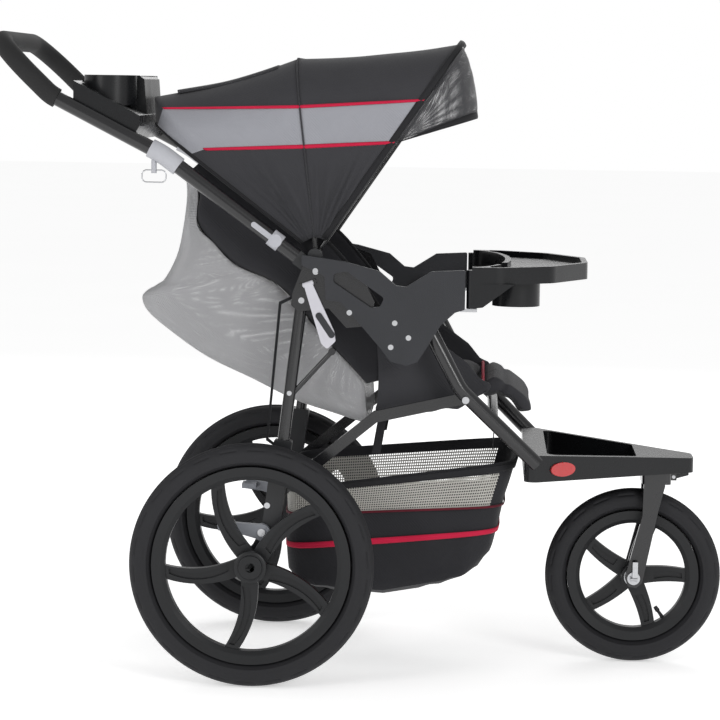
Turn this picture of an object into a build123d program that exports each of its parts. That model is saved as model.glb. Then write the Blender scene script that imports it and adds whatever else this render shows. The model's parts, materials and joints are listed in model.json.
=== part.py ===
from build123d import *

import os
from math import atan2, cos, degrees, hypot, radians, sin

# Three-wheeled jogging stroller.  Millimetres, +Z up, +X forwards, +Y to the rider's left.
# The drawing is laid out from the rear axle line: X = 0 at the rear axle, Z = 0 on the ground.
# Every saved piece is moved so that the origin lies on the ground, midway along the whole length.

# --- overall sizes ---------------------------------------------------------------------------
WHEELBASE = 644.0
TRACK = 570.0  # between the middles of the rear tyres
REAR_RADIUS = 203.2  # 16 inch wheel
FRONT_RADIUS = 152.4  # 12 inch wheel
HANDLE_TOP = 1061.0  # height of the handlebar's centreline
HANDLE_BACK = 437.0  # distance of the handlebar's centreline behind the rear axle

# --- wheels ----------------------------------------------------------------------------------
TYRE_WIDTH = 46.0
TYRE_HEIGHT = 38.5  # from the rim seat to the tread
RIM_DEPTH = 22.0
RIM_WIDTH = 32.0
HUB_RADIUS = 21.0
HUB_WIDTH = 50.0
SPOKE_COUNT = 5
SPOKE_THICKNESS = 14.0
SPOKE_WEB = 5.0  # what is left between the two ribs of a spoke
BEARING_RADIUS = 16.0
BEARING_WIDTH = 10.0
STUB_RADIUS = 6.0
SHAFT_CLEARANCE = 0.05
CAP_THICKNESS = 5.0
TRAIL = 38.0  # the swivel axis stands this far ahead of the front axle

# --- tubes and layers across the width ----------------------------------------------------------
TUBE_RADIUS = 12.5
TUBE_WALL = 2.0
AXLE_RADIUS = 11.0
PANEL_THICKNESS = 9.0
PLATE_THICKNESS = 4.0
TYRE_GAP = 4.0  # between the side panels and the rear tyres
LAYER_GAP = 1.0
BAR_THICKNESS = 10.0  # folding rails and struts
GRIP_THICKNESS = 4.0
PIN_RADIUS = 5.0
SMALL_PIN_RADIUS = 4.0

PANEL_OUT = TRACK / 2 - TYRE_WIDTH / 2 - TYRE_GAP
PANEL_IN = PANEL_OUT - PANEL_THICKNESS
PLATE_IN = PANEL_IN - PLATE_THICKNESS
TUBE_Y = PLATE_IN - LAYER_GAP / 2 - TUBE_RADIUS
KNUCKLE_HALF = TUBE_RADIUS - 0.5
FABRIC_OUT = TUBE_Y - TUBE_RADIUS - 5.0
FABRIC_THICKNESS = 2.5
BOW_RADIUS = 4.0
MID_BOW_Y = FABRIC_OUT - FABRIC_THICKNESS - LAYER_GAP - BOW_RADIUS
FRONT_BOW_Y = MID_BOW_Y - 2 * BOW_RADIUS - LAYER_GAP
VISOR_OUT = FABRIC_OUT - FABRIC_THICKNESS - 5.0
RAIL_Y = TUBE_Y - TUBE_RADIUS - 6.5 - BAR_THICKNESS / 2
STRUT_Y = RAIL_Y - BAR_THICKNESS - 2.0
SLING_OUT = STRUT_Y - BAR_THICKNESS / 2 - 5.0
SLING_WALL = 4.0
WING_OUT = SLING_OUT - SLING_WALL - LAYER_GAP
WING_WALL = 4.5
BACK_HALF = WING_OUT - WING_WALL - 0.5
PAD_HALF = BACK_HALF - 6.0
BASKET_HALF = 165.0
BASKET_WALL = 3.0

# --- points in the side view (x, z) ---------------------------------------------------------------
HANDLE_PIVOT = (98.0, 688.0)
CANOPY_PIVOT = (96.0, 714.0)
LEG_PIVOT = (75.0, 640.0)
TUBE_BEND = (-159.0, 877.0)  # where the handle turns from the steep to the shallow slope
GRIP_BEND = (-345.0, 972.0)  # where the handle turns up into the bar
GRIP_START = 12.0  # the foam starts this far before the upturn
GRIP_BEND_RADIUS = 70.0
HANDLE_TUBE_START = 40.0  # from the handle pivot
BAR_CORNER = 85.0
LEG_FOOT = (28.0, 245.0)
LEG_SPLIT_Z = 406.0
LEG_TUBE_RADIUS = 10.0
FRONT_TUBE = ((262.0, 640.0), (340.0, 495.0), (470.0, 369.0))
FRONT_TUBE_NARROWING = 30.0  # how far each front tube comes in at the footrest
CROSS_TUBE = (395.0, 441.7)
CROSS_TUBE_RADIUS = 9.0
RAIL_FRONT = (349.0, 479.0)
KNEE = (200.0, 445.0)
STRUT_FOOT = (37.0, 310.0)
BACKREST_PIVOT = (205.0, 470.0)

# --- canopy: direction of each rib from the canopy pivot in degrees, and its reach -----------------
CANOPY_HEM = (142.8, 350.0)
CANOPY_REAR = (137.5, 380.0)
CANOPY_MID = (97.0, 326.0)
CANOPY_FRONT = (55.8, 427.0)
CANOPY_START = 30.0
CANOPY_CORNER = 95.0
VISOR_HINGE_REACH = 224.0
VISOR_STATIONS = ((55.0, 196.0), (38.4, 167.0), (17.5, 143.0))

# --- footrest, fork, console and tray ---------------------------------------------------------------
FOOTREST_BOTTOM = 338.0
FOOTREST_REAR_X = 449.0
FOOTREST_REAR_HALF = 213.0
FOOTREST_TOP_REAR = 385.0
FOOTREST_TOP_FRONT = 363.0
FOOTREST_NOSE = 99.0  # ahead of the front axle
FOOTREST_WALL = 14.0
FOOTREST_FLOOR = 6.0
STEERER_RADIUS = 12.0
CROWN_TOP = FOOTREST_BOTTOM - 1.5
CROWN_HEIGHT = 20.0
BLADE_THICKNESS = 8.0
BLADE_IN = 33.0
CONSOLE_TOP = 1006.0
CONSOLE_X = (-308.0, -198.0)
CUP_RADIUS = 38.0
CONSOLE_CUP_Y = 150.0
CUP_WALL = 6.0
CONSOLE_CUP_DEPTH = 44.0
TRAY_REAR_X = 356.0
TRAY_FRONT_X = 552.0
TRAY_TOP = 700.0
TRAY_BOTTOM = 672.0
TRAY_ARM_BOTTOM = 632.0
TRAY_ARM_RADIUS = 9.0
TRAY_CUP = (430.0, -140.0)
TRAY_BELLY = 56.0
TRAY_LIP = 10.0
TRAY_CUP_RADIUS = 36.0
TRAY_CUP_DEPTH = 56.0
TRAY_ARM_Y = PANEL_OUT - 2.0 - TRAY_ARM_RADIUS
SEAM_X = TRAY_REAR_X - TRAY_ARM_RADIUS - 2.0

SWIVEL_X = WHEELBASE + TRAIL
LENGTH_BACK = HANDLE_BACK + TUBE_RADIUS + GRIP_THICKNESS
LENGTH_FRONT = WHEELBASE + FRONT_RADIUS
TO_ORIGIN = Pos((LENGTH_BACK - LENGTH_FRONT) / 2, 0, 0)


# --- helpers ----------------------------------------------------------------------------------------
def save(name, shape):
    """Write one piece, moved to the row frame."""
    export_step(TO_ORIGIN * shape, f"parts/{name}.step")


def mirrored(shape):
    return mirror(shape, about=Plane.XZ)


def save_pair(name, shape):
    """Save a left-hand (+Y) piece and its mirror image."""
    save(f"{name}_left", shape)
    save(f"{name}_right", mirrored(shape))


def group(*shapes):
    """One node that holds several separate solids."""
    return Compound(children=[solid for shape in shapes for solid in shape.solids()])


def both(*shapes):
    """One group that holds left-hand pieces and their mirror images."""
    return group(*shapes, *[mirrored(shape) for shape in shapes])


def toward(start, angle, reach):
    """The side-view point at a distance and an angle (degrees above +X) from another."""
    return (start[0] + reach * cos(radians(angle)), start[1] + reach * sin(radians(angle)))


def between(start, end, distance):
    """The side-view point at a distance from start on the line to end."""
    length = hypot(end[0] - start[0], end[1] - start[1])
    share = distance / length
    return (start[0] + share * (end[0] - start[0]), start[1] + share * (end[1] - start[1]))


def side_plane(y_high):
    """The plane at Y = y_high whose sketches read as the side view, extruding towards -Y."""
    return Plane(origin=(0, y_high, 0), x_dir=(1, 0, 0), z_dir=(0, -1, 0))


def slab(points, y_low, y_high, radius=0.0):
    """A side-view outline given its thickness across the width."""
    outline = make_face(Polyline(*points, close=True))
    if radius:
        outline = fillet(outline.vertices(), radius)
    return extrude(side_plane(y_high) * outline, amount=y_high - y_low)


def disc(centre, radius, y_low, y_high):
    """A cylinder across the width."""
    middle = (centre[0], (y_low + y_high) / 2, centre[1])
    return Pos(*middle) * (Rot(90, 0, 0) * Cylinder(radius, y_high - y_low))


def rod(start, end, radius):
    """A straight round bar between two points in space."""
    line = Vector(*end) - Vector(*start)
    plane = Plane(origin=start, z_dir=line)
    bottom = (Align.CENTER, Align.CENTER, Align.MIN)
    return plane * Cylinder(radius, line.length, align=bottom)


def swept(points, radii, radius, bore=0.0):
    """A round tube whose centreline is rounded at each corner."""
    path = FilletPolyline(*points, radius=radii)
    plane = Plane(origin=path @ 0, z_dir=path % 0)
    tube = sweep(plane * Circle(radius), path=path)
    if bore:
        tube -= sweep(plane * Circle(bore), path=path)
    return tube


def u_band(plane, start, reach, half, thickness, corner):
    """A thin arch: two legs from start, a flat top at reach.  Local X is outwards, local Y across."""
    inner_corner = corner - thickness
    top = reach - corner
    outer = [
        Line((start, -half), (top, -half)),
        CenterArc((top, -half + corner), corner, -90, 90),
        Line((reach, -half + corner), (reach, half - corner)),
        CenterArc((top, half - corner), corner, 0, 90),
        Line((top, half), (start, half)),
    ]
    inner = [
        Line((start, half), (start, half - thickness)),
        Line((start, half - thickness), (top, half - thickness)),
        CenterArc((top, half - corner), inner_corner, 0, 90),
        Line((reach - thickness, half - corner), (reach - thickness, -half + corner)),
        CenterArc((top, -half + corner), inner_corner, -90, 90),
        Line((top, -half + thickness), (start, -half + thickness)),
        Line((start, -half + thickness), (start, -half)),
    ]
    return plane * make_face(outer + inner)


def fan_plane(pivot, angle):
    """A plane through a cross-wise hinge line: local X at an angle above +X, local Y along +Y."""
    direction = (cos(radians(angle)), 0, sin(radians(angle)))
    normal = Vector(*direction).cross(Vector(0, 1, 0))
    return Plane(origin=(pivot[0], 0, pivot[1]), x_dir=direction, z_dir=normal)


def bow(pivot, angle, reach, y):
    """A round arch with a flat hub ring at each foot."""
    plane = fan_plane(pivot, angle)
    foot = CANOPY_START - 20.0
    hub_half = BOW_RADIUS + 0.4
    local = [(foot, -y), (reach, -y), (reach, y), (foot, y)]
    points = [plane.from_local_coords((u, v, 0)) for u, v in local]
    arch = swept(points, CANOPY_CORNER, BOW_RADIUS)
    ring = disc(pivot, foot + 1.0, y - hub_half, y + hub_half)
    hole = disc(pivot, SMALL_PIN_RADIUS + SHAFT_CLEARANCE, y - hub_half - 1, y + hub_half + 1)
    bow_part = arch + ring + mirrored(ring)
    return bow_part - hole - mirrored(hole)


# --- wheels -------------------------------------------------------------------------------------------
def revolved(points):
    """Turn a (radius, y) outline about the Y axis."""
    return revolve(make_face(Polyline(*points, close=True)), axis=Axis.Y)


def tyre(radius):
    """A rounded tyre with a flat seat on the rim."""
    seat = radius - TYRE_HEIGHT
    half = TYRE_WIDTH / 2
    bead = RIM_WIDTH / 2
    shoulder = radius - 9.0
    side = [
        (seat, bead), (seat + 5, half - 3), (seat + 12, half - 0.8), (radius - 20, half),
        (radius - 13, half - 1.5), (shoulder, half - 4), (radius - 4, half - 9.5), (radius - 1, half - 16),
    ]
    return revolved(side + [(radius, 0)] + [(r, -y) for r, y in side[::-1]])


def spoke(inner, outer, bend):
    """One curved double-ribbed spoke, pointing along +X in the side view."""

    def band(start, end, start_half, end_half):
        middle = (start + end) / 2
        half = (start_half + end_half) / 2
        return make_face(
            [
                ThreePointArc((start, -start_half), (middle, bend - half), (end, -end_half)),
                Line((end, -end_half), (end, end_half)),
                ThreePointArc((end, end_half), (middle, bend + half), (start, start_half)),
                Line((start, start_half), (start, -start_half)),
            ]
        )

    hollow = band(inner + 20, outer - 9, 6.5, 4.5)
    half = SPOKE_THICKNESS / 2
    blade = extrude(side_plane(half) * band(inner, outer, 15.0, 11.5), amount=SPOKE_THICKNESS)
    for low in (-half, SPOKE_WEB / 2):
        blade -= extrude(side_plane(low + half - SPOKE_WEB / 2) * hollow, amount=half - SPOKE_WEB / 2)
    return blade


def rim(radius, bend, first_angle, hub_half):
    """Rim, spokes and hub in one casting, bored for two bearings."""
    seat = radius - TYRE_HEIGHT
    inner = seat - RIM_DEPTH
    half = RIM_WIDTH / 2
    ring = revolved(
        [(inner, -half + 7), (inner + 7, -half + 2), (seat, -half)]
        + [(seat, half), (inner + 7, half - 2), (inner, half - 7)]
    )
    wheel = ring + disc((0, 0), HUB_RADIUS, -hub_half, hub_half)
    for index in range(SPOKE_COUNT):
        angle = first_angle + index * 360 / SPOKE_COUNT
        wheel += Rot(0, -angle, 0) * spoke(HUB_RADIUS - 4, inner + 3, bend)
    wheel -= disc((0, 0), BEARING_RADIUS - 3, -hub_half, hub_half)
    for end in (-1, 1):
        seat_y = end * (hub_half - BEARING_WIDTH / 2)
        low = seat_y - BEARING_WIDTH / 2
        wheel -= disc((0, 0), BEARING_RADIUS, low, low + BEARING_WIDTH)
    return wheel


def bearings(hub_half):
    """Two ring bearings, one in each end of a hub."""
    rings = []
    for end in (-1, 1):
        middle = end * (hub_half - BEARING_WIDTH / 2)
        low = middle - BEARING_WIDTH / 2
        ring = disc((0, 0), BEARING_RADIUS, low, low + BEARING_WIDTH)
        ring -= disc((0, 0), STUB_RADIUS + SHAFT_CLEARANCE, low, low + BEARING_WIDTH)
        rings.append(ring)
    return rings


def rear_wheels():
    hub_half = HUB_WIDTH / 2
    place = Pos(0, TRACK / 2, REAR_RADIUS)
    save_pair("rear_tyre", place * tyre(REAR_RADIUS))
    save_pair("rear_rim", place * rim(REAR_RADIUS, 12.0, 41.0, hub_half))
    cap = disc((0, 0), HUB_RADIUS - 1, hub_half, hub_half + CAP_THICKNESS)
    cap = fillet(cap.edges().filter_by(GeomType.CIRCLE).sort_by(Axis.Y)[-1], 2)
    save_pair("rear_bearings_and_cap", place * group(*bearings(hub_half), cap))


def front_wheel():
    hub_half = BLADE_IN - 3.0
    place = Pos(WHEELBASE, 0, FRONT_RADIUS)
    save("front_tyre", place * tyre(FRONT_RADIUS))
    save("front_rim", place * rim(FRONT_RADIUS, 3.0, 0.0, hub_half))
    save("front_bearings", place * group(*bearings(hub_half)))


# --- fork ---------------------------------------------------------------------------------------------
def fork():
    """Swivelling fork: crown and blades, steerer, front axle, quick release and swivel lock."""
    crown_low = CROWN_TOP - CROWN_HEIGHT
    blade_out = BLADE_IN + BLADE_THICKNESS
    crown = Pos(SWIVEL_X - 2, 0, CROWN_TOP - CROWN_HEIGHT / 2) * Box(50, 2 * blade_out, CROWN_HEIGHT)
    crown = fillet(crown.edges().filter_by(Axis.Z), 8)
    blade = slab(
        [(SWIVEL_X - 24, crown_low + 2), (SWIVEL_X + 14, crown_low + 2), (SWIVEL_X + 2, 270)]
        + [(WHEELBASE + 15, FRONT_RADIUS - 8), (WHEELBASE + 5, FRONT_RADIUS - 17)]
        + [(WHEELBASE - 9, FRONT_RADIUS - 15), (WHEELBASE - 15, FRONT_RADIUS), (SWIVEL_X - 25, 262)],
        BLADE_IN,
        blade_out,
        4,
    )
    stub = disc((WHEELBASE, FRONT_RADIUS), STUB_RADIUS, -blade_out - 9, blade_out + 6)
    body = crown + blade + mirrored(blade) - stub
    steerer_top = FOOTREST_TOP_FRONT - 6
    steerer = rod((SWIVEL_X, 0, CROWN_TOP), (SWIVEL_X, 0, steerer_top), STEERER_RADIUS)
    lock_pivot = (SWIVEL_X + 29, CROWN_TOP - 10)
    lock_pin = disc(lock_pivot, 3, -12, 12)
    ears = slab(
        [(SWIVEL_X + 20, CROWN_TOP - 2), (lock_pivot[0] + 5, CROWN_TOP - 4)]
        + [(lock_pivot[0] + 5, lock_pivot[1] - 6), (SWIVEL_X + 20, lock_pivot[1] - 6)],
        -12,
        -8,
    )
    body += ears + mirrored(ears)
    save("fork", body + steerer - lock_pin)
    lever = disc(lock_pivot, 6, -7, 7)
    lever += slab(
        [(lock_pivot[0] + 3, lock_pivot[1] + 5), (lock_pivot[0] + 26, lock_pivot[1] + 7)]
        + [(lock_pivot[0] + 26, lock_pivot[1] + 3), (lock_pivot[0] + 5, lock_pivot[1] - 3)],
        -7,
        7,
    )
    lever -= disc(lock_pivot, 3 + SHAFT_CLEARANCE, -8, 8)
    save("swivel_lock_lever", lever)
    # quick release: a ring on the axle's right-hand end and a short lever that stands on it
    ring_y = -blade_out
    ring = disc((WHEELBASE, FRONT_RADIUS), 11, ring_y - 5, ring_y) - stub
    pivot_y = ring_y - 12.5
    arm = Pos(WHEELBASE, pivot_y, FRONT_RADIUS) * (Rot(0, 90, 0) * Cylinder(3, 12))
    arm += Pos(WHEELBASE + 2, pivot_y + 0.5, FRONT_RADIUS + 15) * Box(9, 3, 30)
    save("quick_release_lever", arm)
    far_nut = disc((WHEELBASE, FRONT_RADIUS), 10, blade_out, blade_out + 6) - stub
    save("fork_pins", group(stub, lock_pin, ring, far_nut))


# --- front frame -----------------------------------------------------------------------------------------
def front_tube_path():
    (x0, z0), (x1, z1), (x2, z2) = FRONT_TUBE
    return [(x0, TUBE_Y, z0), (x1, TUBE_Y, z1), (x2, TUBE_Y - FRONT_TUBE_NARROWING, z2)]


def side_panel():
    """The moulded side cover with its slanted window, and the boss that holds the front tube."""
    outline = [
        (75, 716), (146, 706), (204, 691), (231, 668), (248, 666), (289, 692), (SEAM_X, 695),
        (SEAM_X, 630), (329, 625), (306, 604), (279, 559), (268, 542), (250, 536), (224, 542),
        (206, 565), (141, 639), (116, 642), (113, 682), (75, 699),
    ]
    cover = slab(outline, PANEL_IN, PANEL_OUT, 3)
    window = slab([(128, 686), (150, 690), (212, 647), (205, 632), (190, 631), (128, 672)], PANEL_IN, PANEL_OUT, 6)
    cover -= window
    (x0, z0), (x1, z1), _ = FRONT_TUBE
    low = between((x0, z0), (x1, z1), 42)
    normal = (z0 - z1, x1 - x0)
    size = hypot(*normal)
    reach = TUBE_RADIUS + 5
    step = (normal[0] / size * reach, normal[1] / size * reach)
    boss = slab(
        [(x0 - step[0], z0 - step[1]), (x0 + step[0], z0 + step[1])]
        + [(low[0] + step[0], low[1] + step[1]), (low[0] - step[0], low[1] - step[1])],
        TUBE_Y,
        PANEL_IN,
    )
    return cover + boss - swept(front_tube_path(), 60, TUBE_RADIUS) - tray_post()


def hinge_plate():
    """The steel plate inside each panel that carries the handle and leg pivots and the lever lugs."""
    outline = [
        (58, 632), (60, 652), (78, 700), (84, 712), (110, 712), (170, 690), (196, 640), (190, 600),
        (150, 596), (120, 628), (88, 624), (70, 622),
    ]
    plate = slab(outline, PLATE_IN, PANEL_IN, 4)
    plate -= hinge_pins()
    frame = lever_frame()
    for end in (-1, 1):
        lug = frame * (Pos(end * 12, 0, -2.75) * Box(4, 9, 9.5))
        plate += lug
    return plate - lever_pin() - side_panel()


def hinge_pins():
    """The handle pivot pin and the leg pivot pin, each with an inner head."""
    inner = TUBE_Y - KNUCKLE_HALF
    pins = Part()
    for pivot in (HANDLE_PIVOT, LEG_PIVOT):
        pins += disc(pivot, PIN_RADIUS, inner - 1, PANEL_IN)
        pins += disc(pivot, PIN_RADIUS + 4, inner - 4, inner - 0.5)
    return pins


def lever_frame():
    """Local frame of the latch lever: X along its hinge, Y down the lever, Z outwards."""
    origin = (86.0, PANEL_IN + 5.0, 668.0)
    return Plane(origin=origin, x_dir=(0.939, 0, 0.344), z_dir=(0, 1, 0))


def lever_pin():
    return lever_frame() * (Rot(0, 90, 0) * Cylinder(1.5, 28))


def latch_lever():
    """The silver flip lever and its dark finger insert."""
    frame = lever_frame()
    outline = make_face(Polyline((-7, 0), (7, 0), (15, 88), (12, 104), (-6, 112), (-12, 100), close=True))
    outline = fillet(outline.vertices().sort_by(Axis.Y)[2:], 4)
    lever = extrude(Plane.XY.offset(-3) * outline, amount=7)
    lever += Rot(0, 90, 0) * Cylinder(4, 18)
    pocket = make_face(Polyline((-3, 52), (5, 50), (8, 92), (-5, 98), close=True))
    pocket = fillet(pocket.vertices(), 2)
    insert = extrude(Plane.XY.offset(1) * pocket, amount=3.6)
    lever -= insert
    lever -= Rot(0, 90, 0) * Cylinder(1.5 + SHAFT_CLEARANCE, 20)
    save_pair("latch_lever", frame * group(lever, insert))


def panel_screws():
    """Countersunk screws, flush with the panel's outer face."""
    screws = Part()
    for x, z in PANEL_SCREWS:
        screws += disc((x, z), 4.5, PANEL_OUT - 3, PANEL_OUT)
        screws += disc((x, z), 2, PANEL_IN, PANEL_OUT - 3)
    return screws


PANEL_SCREWS = ((98, 690), (155, 622), (230, 606), (253, 582), (224, 566))


def front_frame():
    panel = side_panel()
    screws = panel_screws()
    save("side_panels", both(panel - screws))
    save("panel_screws", both(screws))
    save("hinge_plates", both(hinge_plate()))
    latch_lever()
    rail_pin = disc(RAIL_FRONT, SMALL_PIN_RADIUS, RAIL_Y - BAR_THICKNESS / 2 - 4, TUBE_Y)
    rail_pin += disc(RAIL_FRONT, SMALL_PIN_RADIUS + 3, RAIL_Y - BAR_THICKNESS / 2 - 4, RAIL_Y - BAR_THICKNESS / 2 - 1)
    rivet = disc(RAIL_FRONT, SMALL_PIN_RADIUS + 2, TUBE_Y + TUBE_RADIUS - 1, TUBE_Y + TUBE_RADIUS + 2)
    rivet += disc(RAIL_FRONT, SMALL_PIN_RADIUS, TUBE_Y, TUBE_Y + TUBE_RADIUS)
    pins = rail_pin + rivet
    cross = rod(
        (CROSS_TUBE[0], -TUBE_Y, CROSS_TUBE[1]), (CROSS_TUBE[0], TUBE_Y, CROSS_TUBE[1]), CROSS_TUBE_RADIUS
    )
    outer = swept(front_tube_path(), 60, TUBE_RADIUS)
    tube = swept(front_tube_path(), 60, TUBE_RADIUS, TUBE_RADIUS - TUBE_WALL)
    save("front_tubes", both(tube - pins))
    post = tray_post()
    save("frame_pins", both(hinge_pins(), lever_pin(), pins, post))
    cross_tube = cross - outer - mirrored(outer)
    middle = cross_tube.solids().sort_by(SortBy.VOLUME)[-1]
    save("seat_cross_tube", middle)
    footrest(outer)


def footrest(tube):
    """The wedge-shaped foot platform over the fork, its reflectors and the swivel housing."""
    nose_x = WHEELBASE + FOOTREST_NOSE
    narrow_x = SWIVEL_X + 8
    plan = [
        (FOOTREST_REAR_X, -FOOTREST_REAR_HALF), (narrow_x, -64), (nose_x, -34),
        (nose_x, 34), (narrow_x, 64), (FOOTREST_REAR_X, FOOTREST_REAR_HALF),
    ]
    outline = make_face(Polyline(*plan, close=True))
    outline = fillet(outline.vertices(), 16)
    block = extrude(Pos(0, 0, FOOTREST_BOTTOM) * outline, amount=FOOTREST_TOP_REAR - FOOTREST_BOTTOM)
    well_x0 = FOOTREST_REAR_X + 38
    well_x1 = SWIVEL_X - 40
    slope = (FOOTREST_REAR_HALF - 64) / (narrow_x - FOOTREST_REAR_X)
    half0 = FOOTREST_REAR_HALF - slope * (well_x0 - FOOTREST_REAR_X) - FOOTREST_WALL
    half1 = FOOTREST_REAR_HALF - slope * (well_x1 - FOOTREST_REAR_X) - FOOTREST_WALL
    well = make_face(
        Polyline((well_x0, -half0), (well_x1, -half1), (well_x1, half1), (well_x0, half0), close=True)
    )
    well = fillet(well.vertices(), 12)
    floor_z = FOOTREST_BOTTOM + FOOTREST_FLOOR
    block -= extrude(Pos(0, 0, floor_z) * well, amount=100)
    top = slab(
        [(FOOTREST_REAR_X, FOOTREST_TOP_REAR), (nose_x, FOOTREST_TOP_FRONT), (nose_x, 500)]
        + [(FOOTREST_REAR_X, 500)],
        -FOOTREST_REAR_HALF,
        FOOTREST_REAR_HALF,
    )
    block -= top
    housing_top = FOOTREST_TOP_FRONT - 4
    housing = rod((SWIVEL_X, 0, FOOTREST_BOTTOM - 0.5), (SWIVEL_X, 0, housing_top), 24)
    block -= housing
    bore = rod(
        (SWIVEL_X, 0, FOOTREST_BOTTOM - 2), (SWIVEL_X, 0, housing_top - 2), STEERER_RADIUS + SHAFT_CLEARANCE
    )
    block -= tube + mirrored(tube)
    save("footrest_platform", block)
    save("fork_housing", housing - bore)
    wall_angle = degrees(atan2(FOOTREST_REAR_HALF - 64, narrow_x - FOOTREST_REAR_X))
    centre_x = FOOTREST_REAR_X + 64
    centre_y = FOOTREST_REAR_HALF - slope * (centre_x - FOOTREST_REAR_X)
    face_dir = (sin(radians(wall_angle)), cos(radians(wall_angle)), 0)
    along = (cos(radians(wall_angle)), -sin(radians(wall_angle)), 0)
    plane = Plane(origin=(centre_x, centre_y, 358), x_dir=along, z_dir=face_dir)
    reflector = extrude(plane * Ellipse(24, 12), amount=3.5)
    save("footrest_reflectors", both(reflector))


# --- handle ------------------------------------------------------------------------------------------------
def handle_points(side):
    """Centreline of one side of the handle above the collar, from low to high."""
    y = side * TUBE_Y
    return [
        (TUBE_BEND[0], y, TUBE_BEND[1]),
        (GRIP_BEND[0], y, GRIP_BEND[1]),
        (-HANDLE_BACK, y, HANDLE_TOP),
    ]


def handle():
    """Side tubes with their knuckles, the upper bar, foam grip, collars, console and fold triggers."""
    start = between(HANDLE_PIVOT, TUBE_BEND, HANDLE_TUBE_START)
    reach = hypot(TUBE_BEND[0] - HANDLE_PIVOT[0], TUBE_BEND[1] - HANDLE_PIVOT[1])
    joint = between(HANDLE_PIVOT, TUBE_BEND, reach - 22)
    y = TUBE_Y
    lower = rod((start[0], y, start[1]), (joint[0], y, joint[1]), TUBE_RADIUS)
    lower_bore = rod((start[0], y, start[1]), (joint[0], y, joint[1]), TUBE_RADIUS - TUBE_WALL)
    save("handle_side_tubes", both(lower - lower_bore))
    knuckle(start)
    low_end = (joint[0], TUBE_Y, joint[1])
    left = [low_end] + handle_points(1)
    right = [(x, -y_left, z) for x, y_left, z in left]
    route = left + right[::-1]
    radii = [120, GRIP_BEND_RADIUS, BAR_CORNER, BAR_CORNER, GRIP_BEND_RADIUS, 120]
    bar = swept(route, radii, TUBE_RADIUS, TUBE_RADIUS - TUBE_WALL)
    save("handlebar", bar)
    solid_bar = swept(route, radii, TUBE_RADIUS)
    grip_low = between(GRIP_BEND, TUBE_BEND, GRIP_START)
    grip_left = [(grip_low[0], TUBE_Y, grip_low[1])] + handle_points(1)[1:]
    grip_right = [(x, -y_left, z) for x, y_left, z in grip_left]
    grip = swept(
        grip_left + grip_right[::-1], radii[1:-1], TUBE_RADIUS + GRIP_THICKNESS, TUBE_RADIUS + 0.02
    )
    save("handle_grip", grip)
    collar_low = between(HANDLE_PIVOT, TUBE_BEND, reach - 34)
    collar_high = between(TUBE_BEND, GRIP_BEND, 22)
    collar_path = [
        (collar_low[0], TUBE_Y, collar_low[1]),
        (TUBE_BEND[0], TUBE_Y, TUBE_BEND[1]),
        (collar_high[0], TUBE_Y, collar_high[1]),
    ]
    collar = swept(collar_path, 120, TUBE_RADIUS + 3.5, TUBE_RADIUS + 0.02)
    save("parent_console", console(solid_bar))
    triggers()
    lug = tether(collar_high)
    save("tube_collars", group(collar, mirrored(collar), lug - mirrored(collar)))


def knuckle(start):
    """The end fitting that joins each side tube to the handle pivot and carries the canopy pin."""
    low, high = TUBE_Y - KNUCKLE_HALF, TUBE_Y + KNUCKLE_HALF
    line = (start[0] - HANDLE_PIVOT[0], start[1] - HANDLE_PIVOT[1])
    size = hypot(*line)
    normal = (-line[1] / size * TUBE_RADIUS, line[0] / size * TUBE_RADIUS)
    arm = slab(
        [(HANDLE_PIVOT[0] + normal[0], HANDLE_PIVOT[1] + normal[1]), (start[0] + normal[0], start[1] + normal[1])]
        + [(start[0] - normal[0], start[1] - normal[1]), (HANDLE_PIVOT[0] - normal[0], HANDLE_PIVOT[1] - normal[1])],
        low,
        high,
    )
    body = arm + disc(HANDLE_PIVOT, 17, low, high) + disc(CANOPY_PIVOT, 12, low, high)
    body -= disc(HANDLE_PIVOT, PIN_RADIUS + SHAFT_CLEARANCE, low, high)
    pin = canopy_pin()
    save("handle_knuckles", both(body - pin, pin))


def canopy_pin():
    """One pin for both bows, with a head inside the inner bow."""
    inner = FRONT_BOW_Y - BOW_RADIUS - 0.4
    pin = disc(CANOPY_PIVOT, SMALL_PIN_RADIUS, inner - 1, TUBE_Y)
    return pin + disc(CANOPY_PIVOT, SMALL_PIN_RADIUS + 3, inner - 3.5, inner - 0.5)


def console(bar):
    """The parent's tray between the handle tubes: two cup wells and an open middle."""
    low_x, high_x = CONSOLE_X
    half = TUBE_Y - 4
    profile = [
        (low_x, CONSOLE_TOP - 6), (low_x + 8, CONSOLE_TOP), (high_x - 14, CONSOLE_TOP),
        (high_x - 6, CONSOLE_TOP - 6), (high_x, 922), (high_x - 14, 899), (low_x, 964),
    ]
    band = [(low_x, 996), (high_x, 940), (high_x, 922), (high_x - 14, 899), (low_x, 964)]
    body = slab(band, -half, half)
    body += slab(profile, -CONSOLE_CUP_Y + CUP_RADIUS, CONSOLE_CUP_Y - CUP_RADIUS)
    middle_x = (low_x + high_x) / 2 - 3
    for side in (-1, 1):
        top = (middle_x, side * CONSOLE_CUP_Y, CONSOLE_TOP)
        floor = (middle_x, side * CONSOLE_CUP_Y, CONSOLE_TOP - CONSOLE_CUP_DEPTH)
        foot = (middle_x, side * CONSOLE_CUP_Y, CONSOLE_TOP - CONSOLE_CUP_DEPTH - CUP_WALL)
        body += rod(foot, top, CUP_RADIUS + CUP_WALL)
        body -= rod(floor, top, CUP_RADIUS)
    pocket = slab(
        [(low_x + 8, CONSOLE_TOP - 20), (low_x + 8, CONSOLE_TOP + 1), (high_x - 12, CONSOLE_TOP + 1)]
        + [(high_x - 10, 934), (low_x + 30, 962)],
        -CONSOLE_CUP_Y + CUP_RADIUS + 10,
        CONSOLE_CUP_Y - CUP_RADIUS - 10,
    )
    return body - pocket - bar


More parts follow.
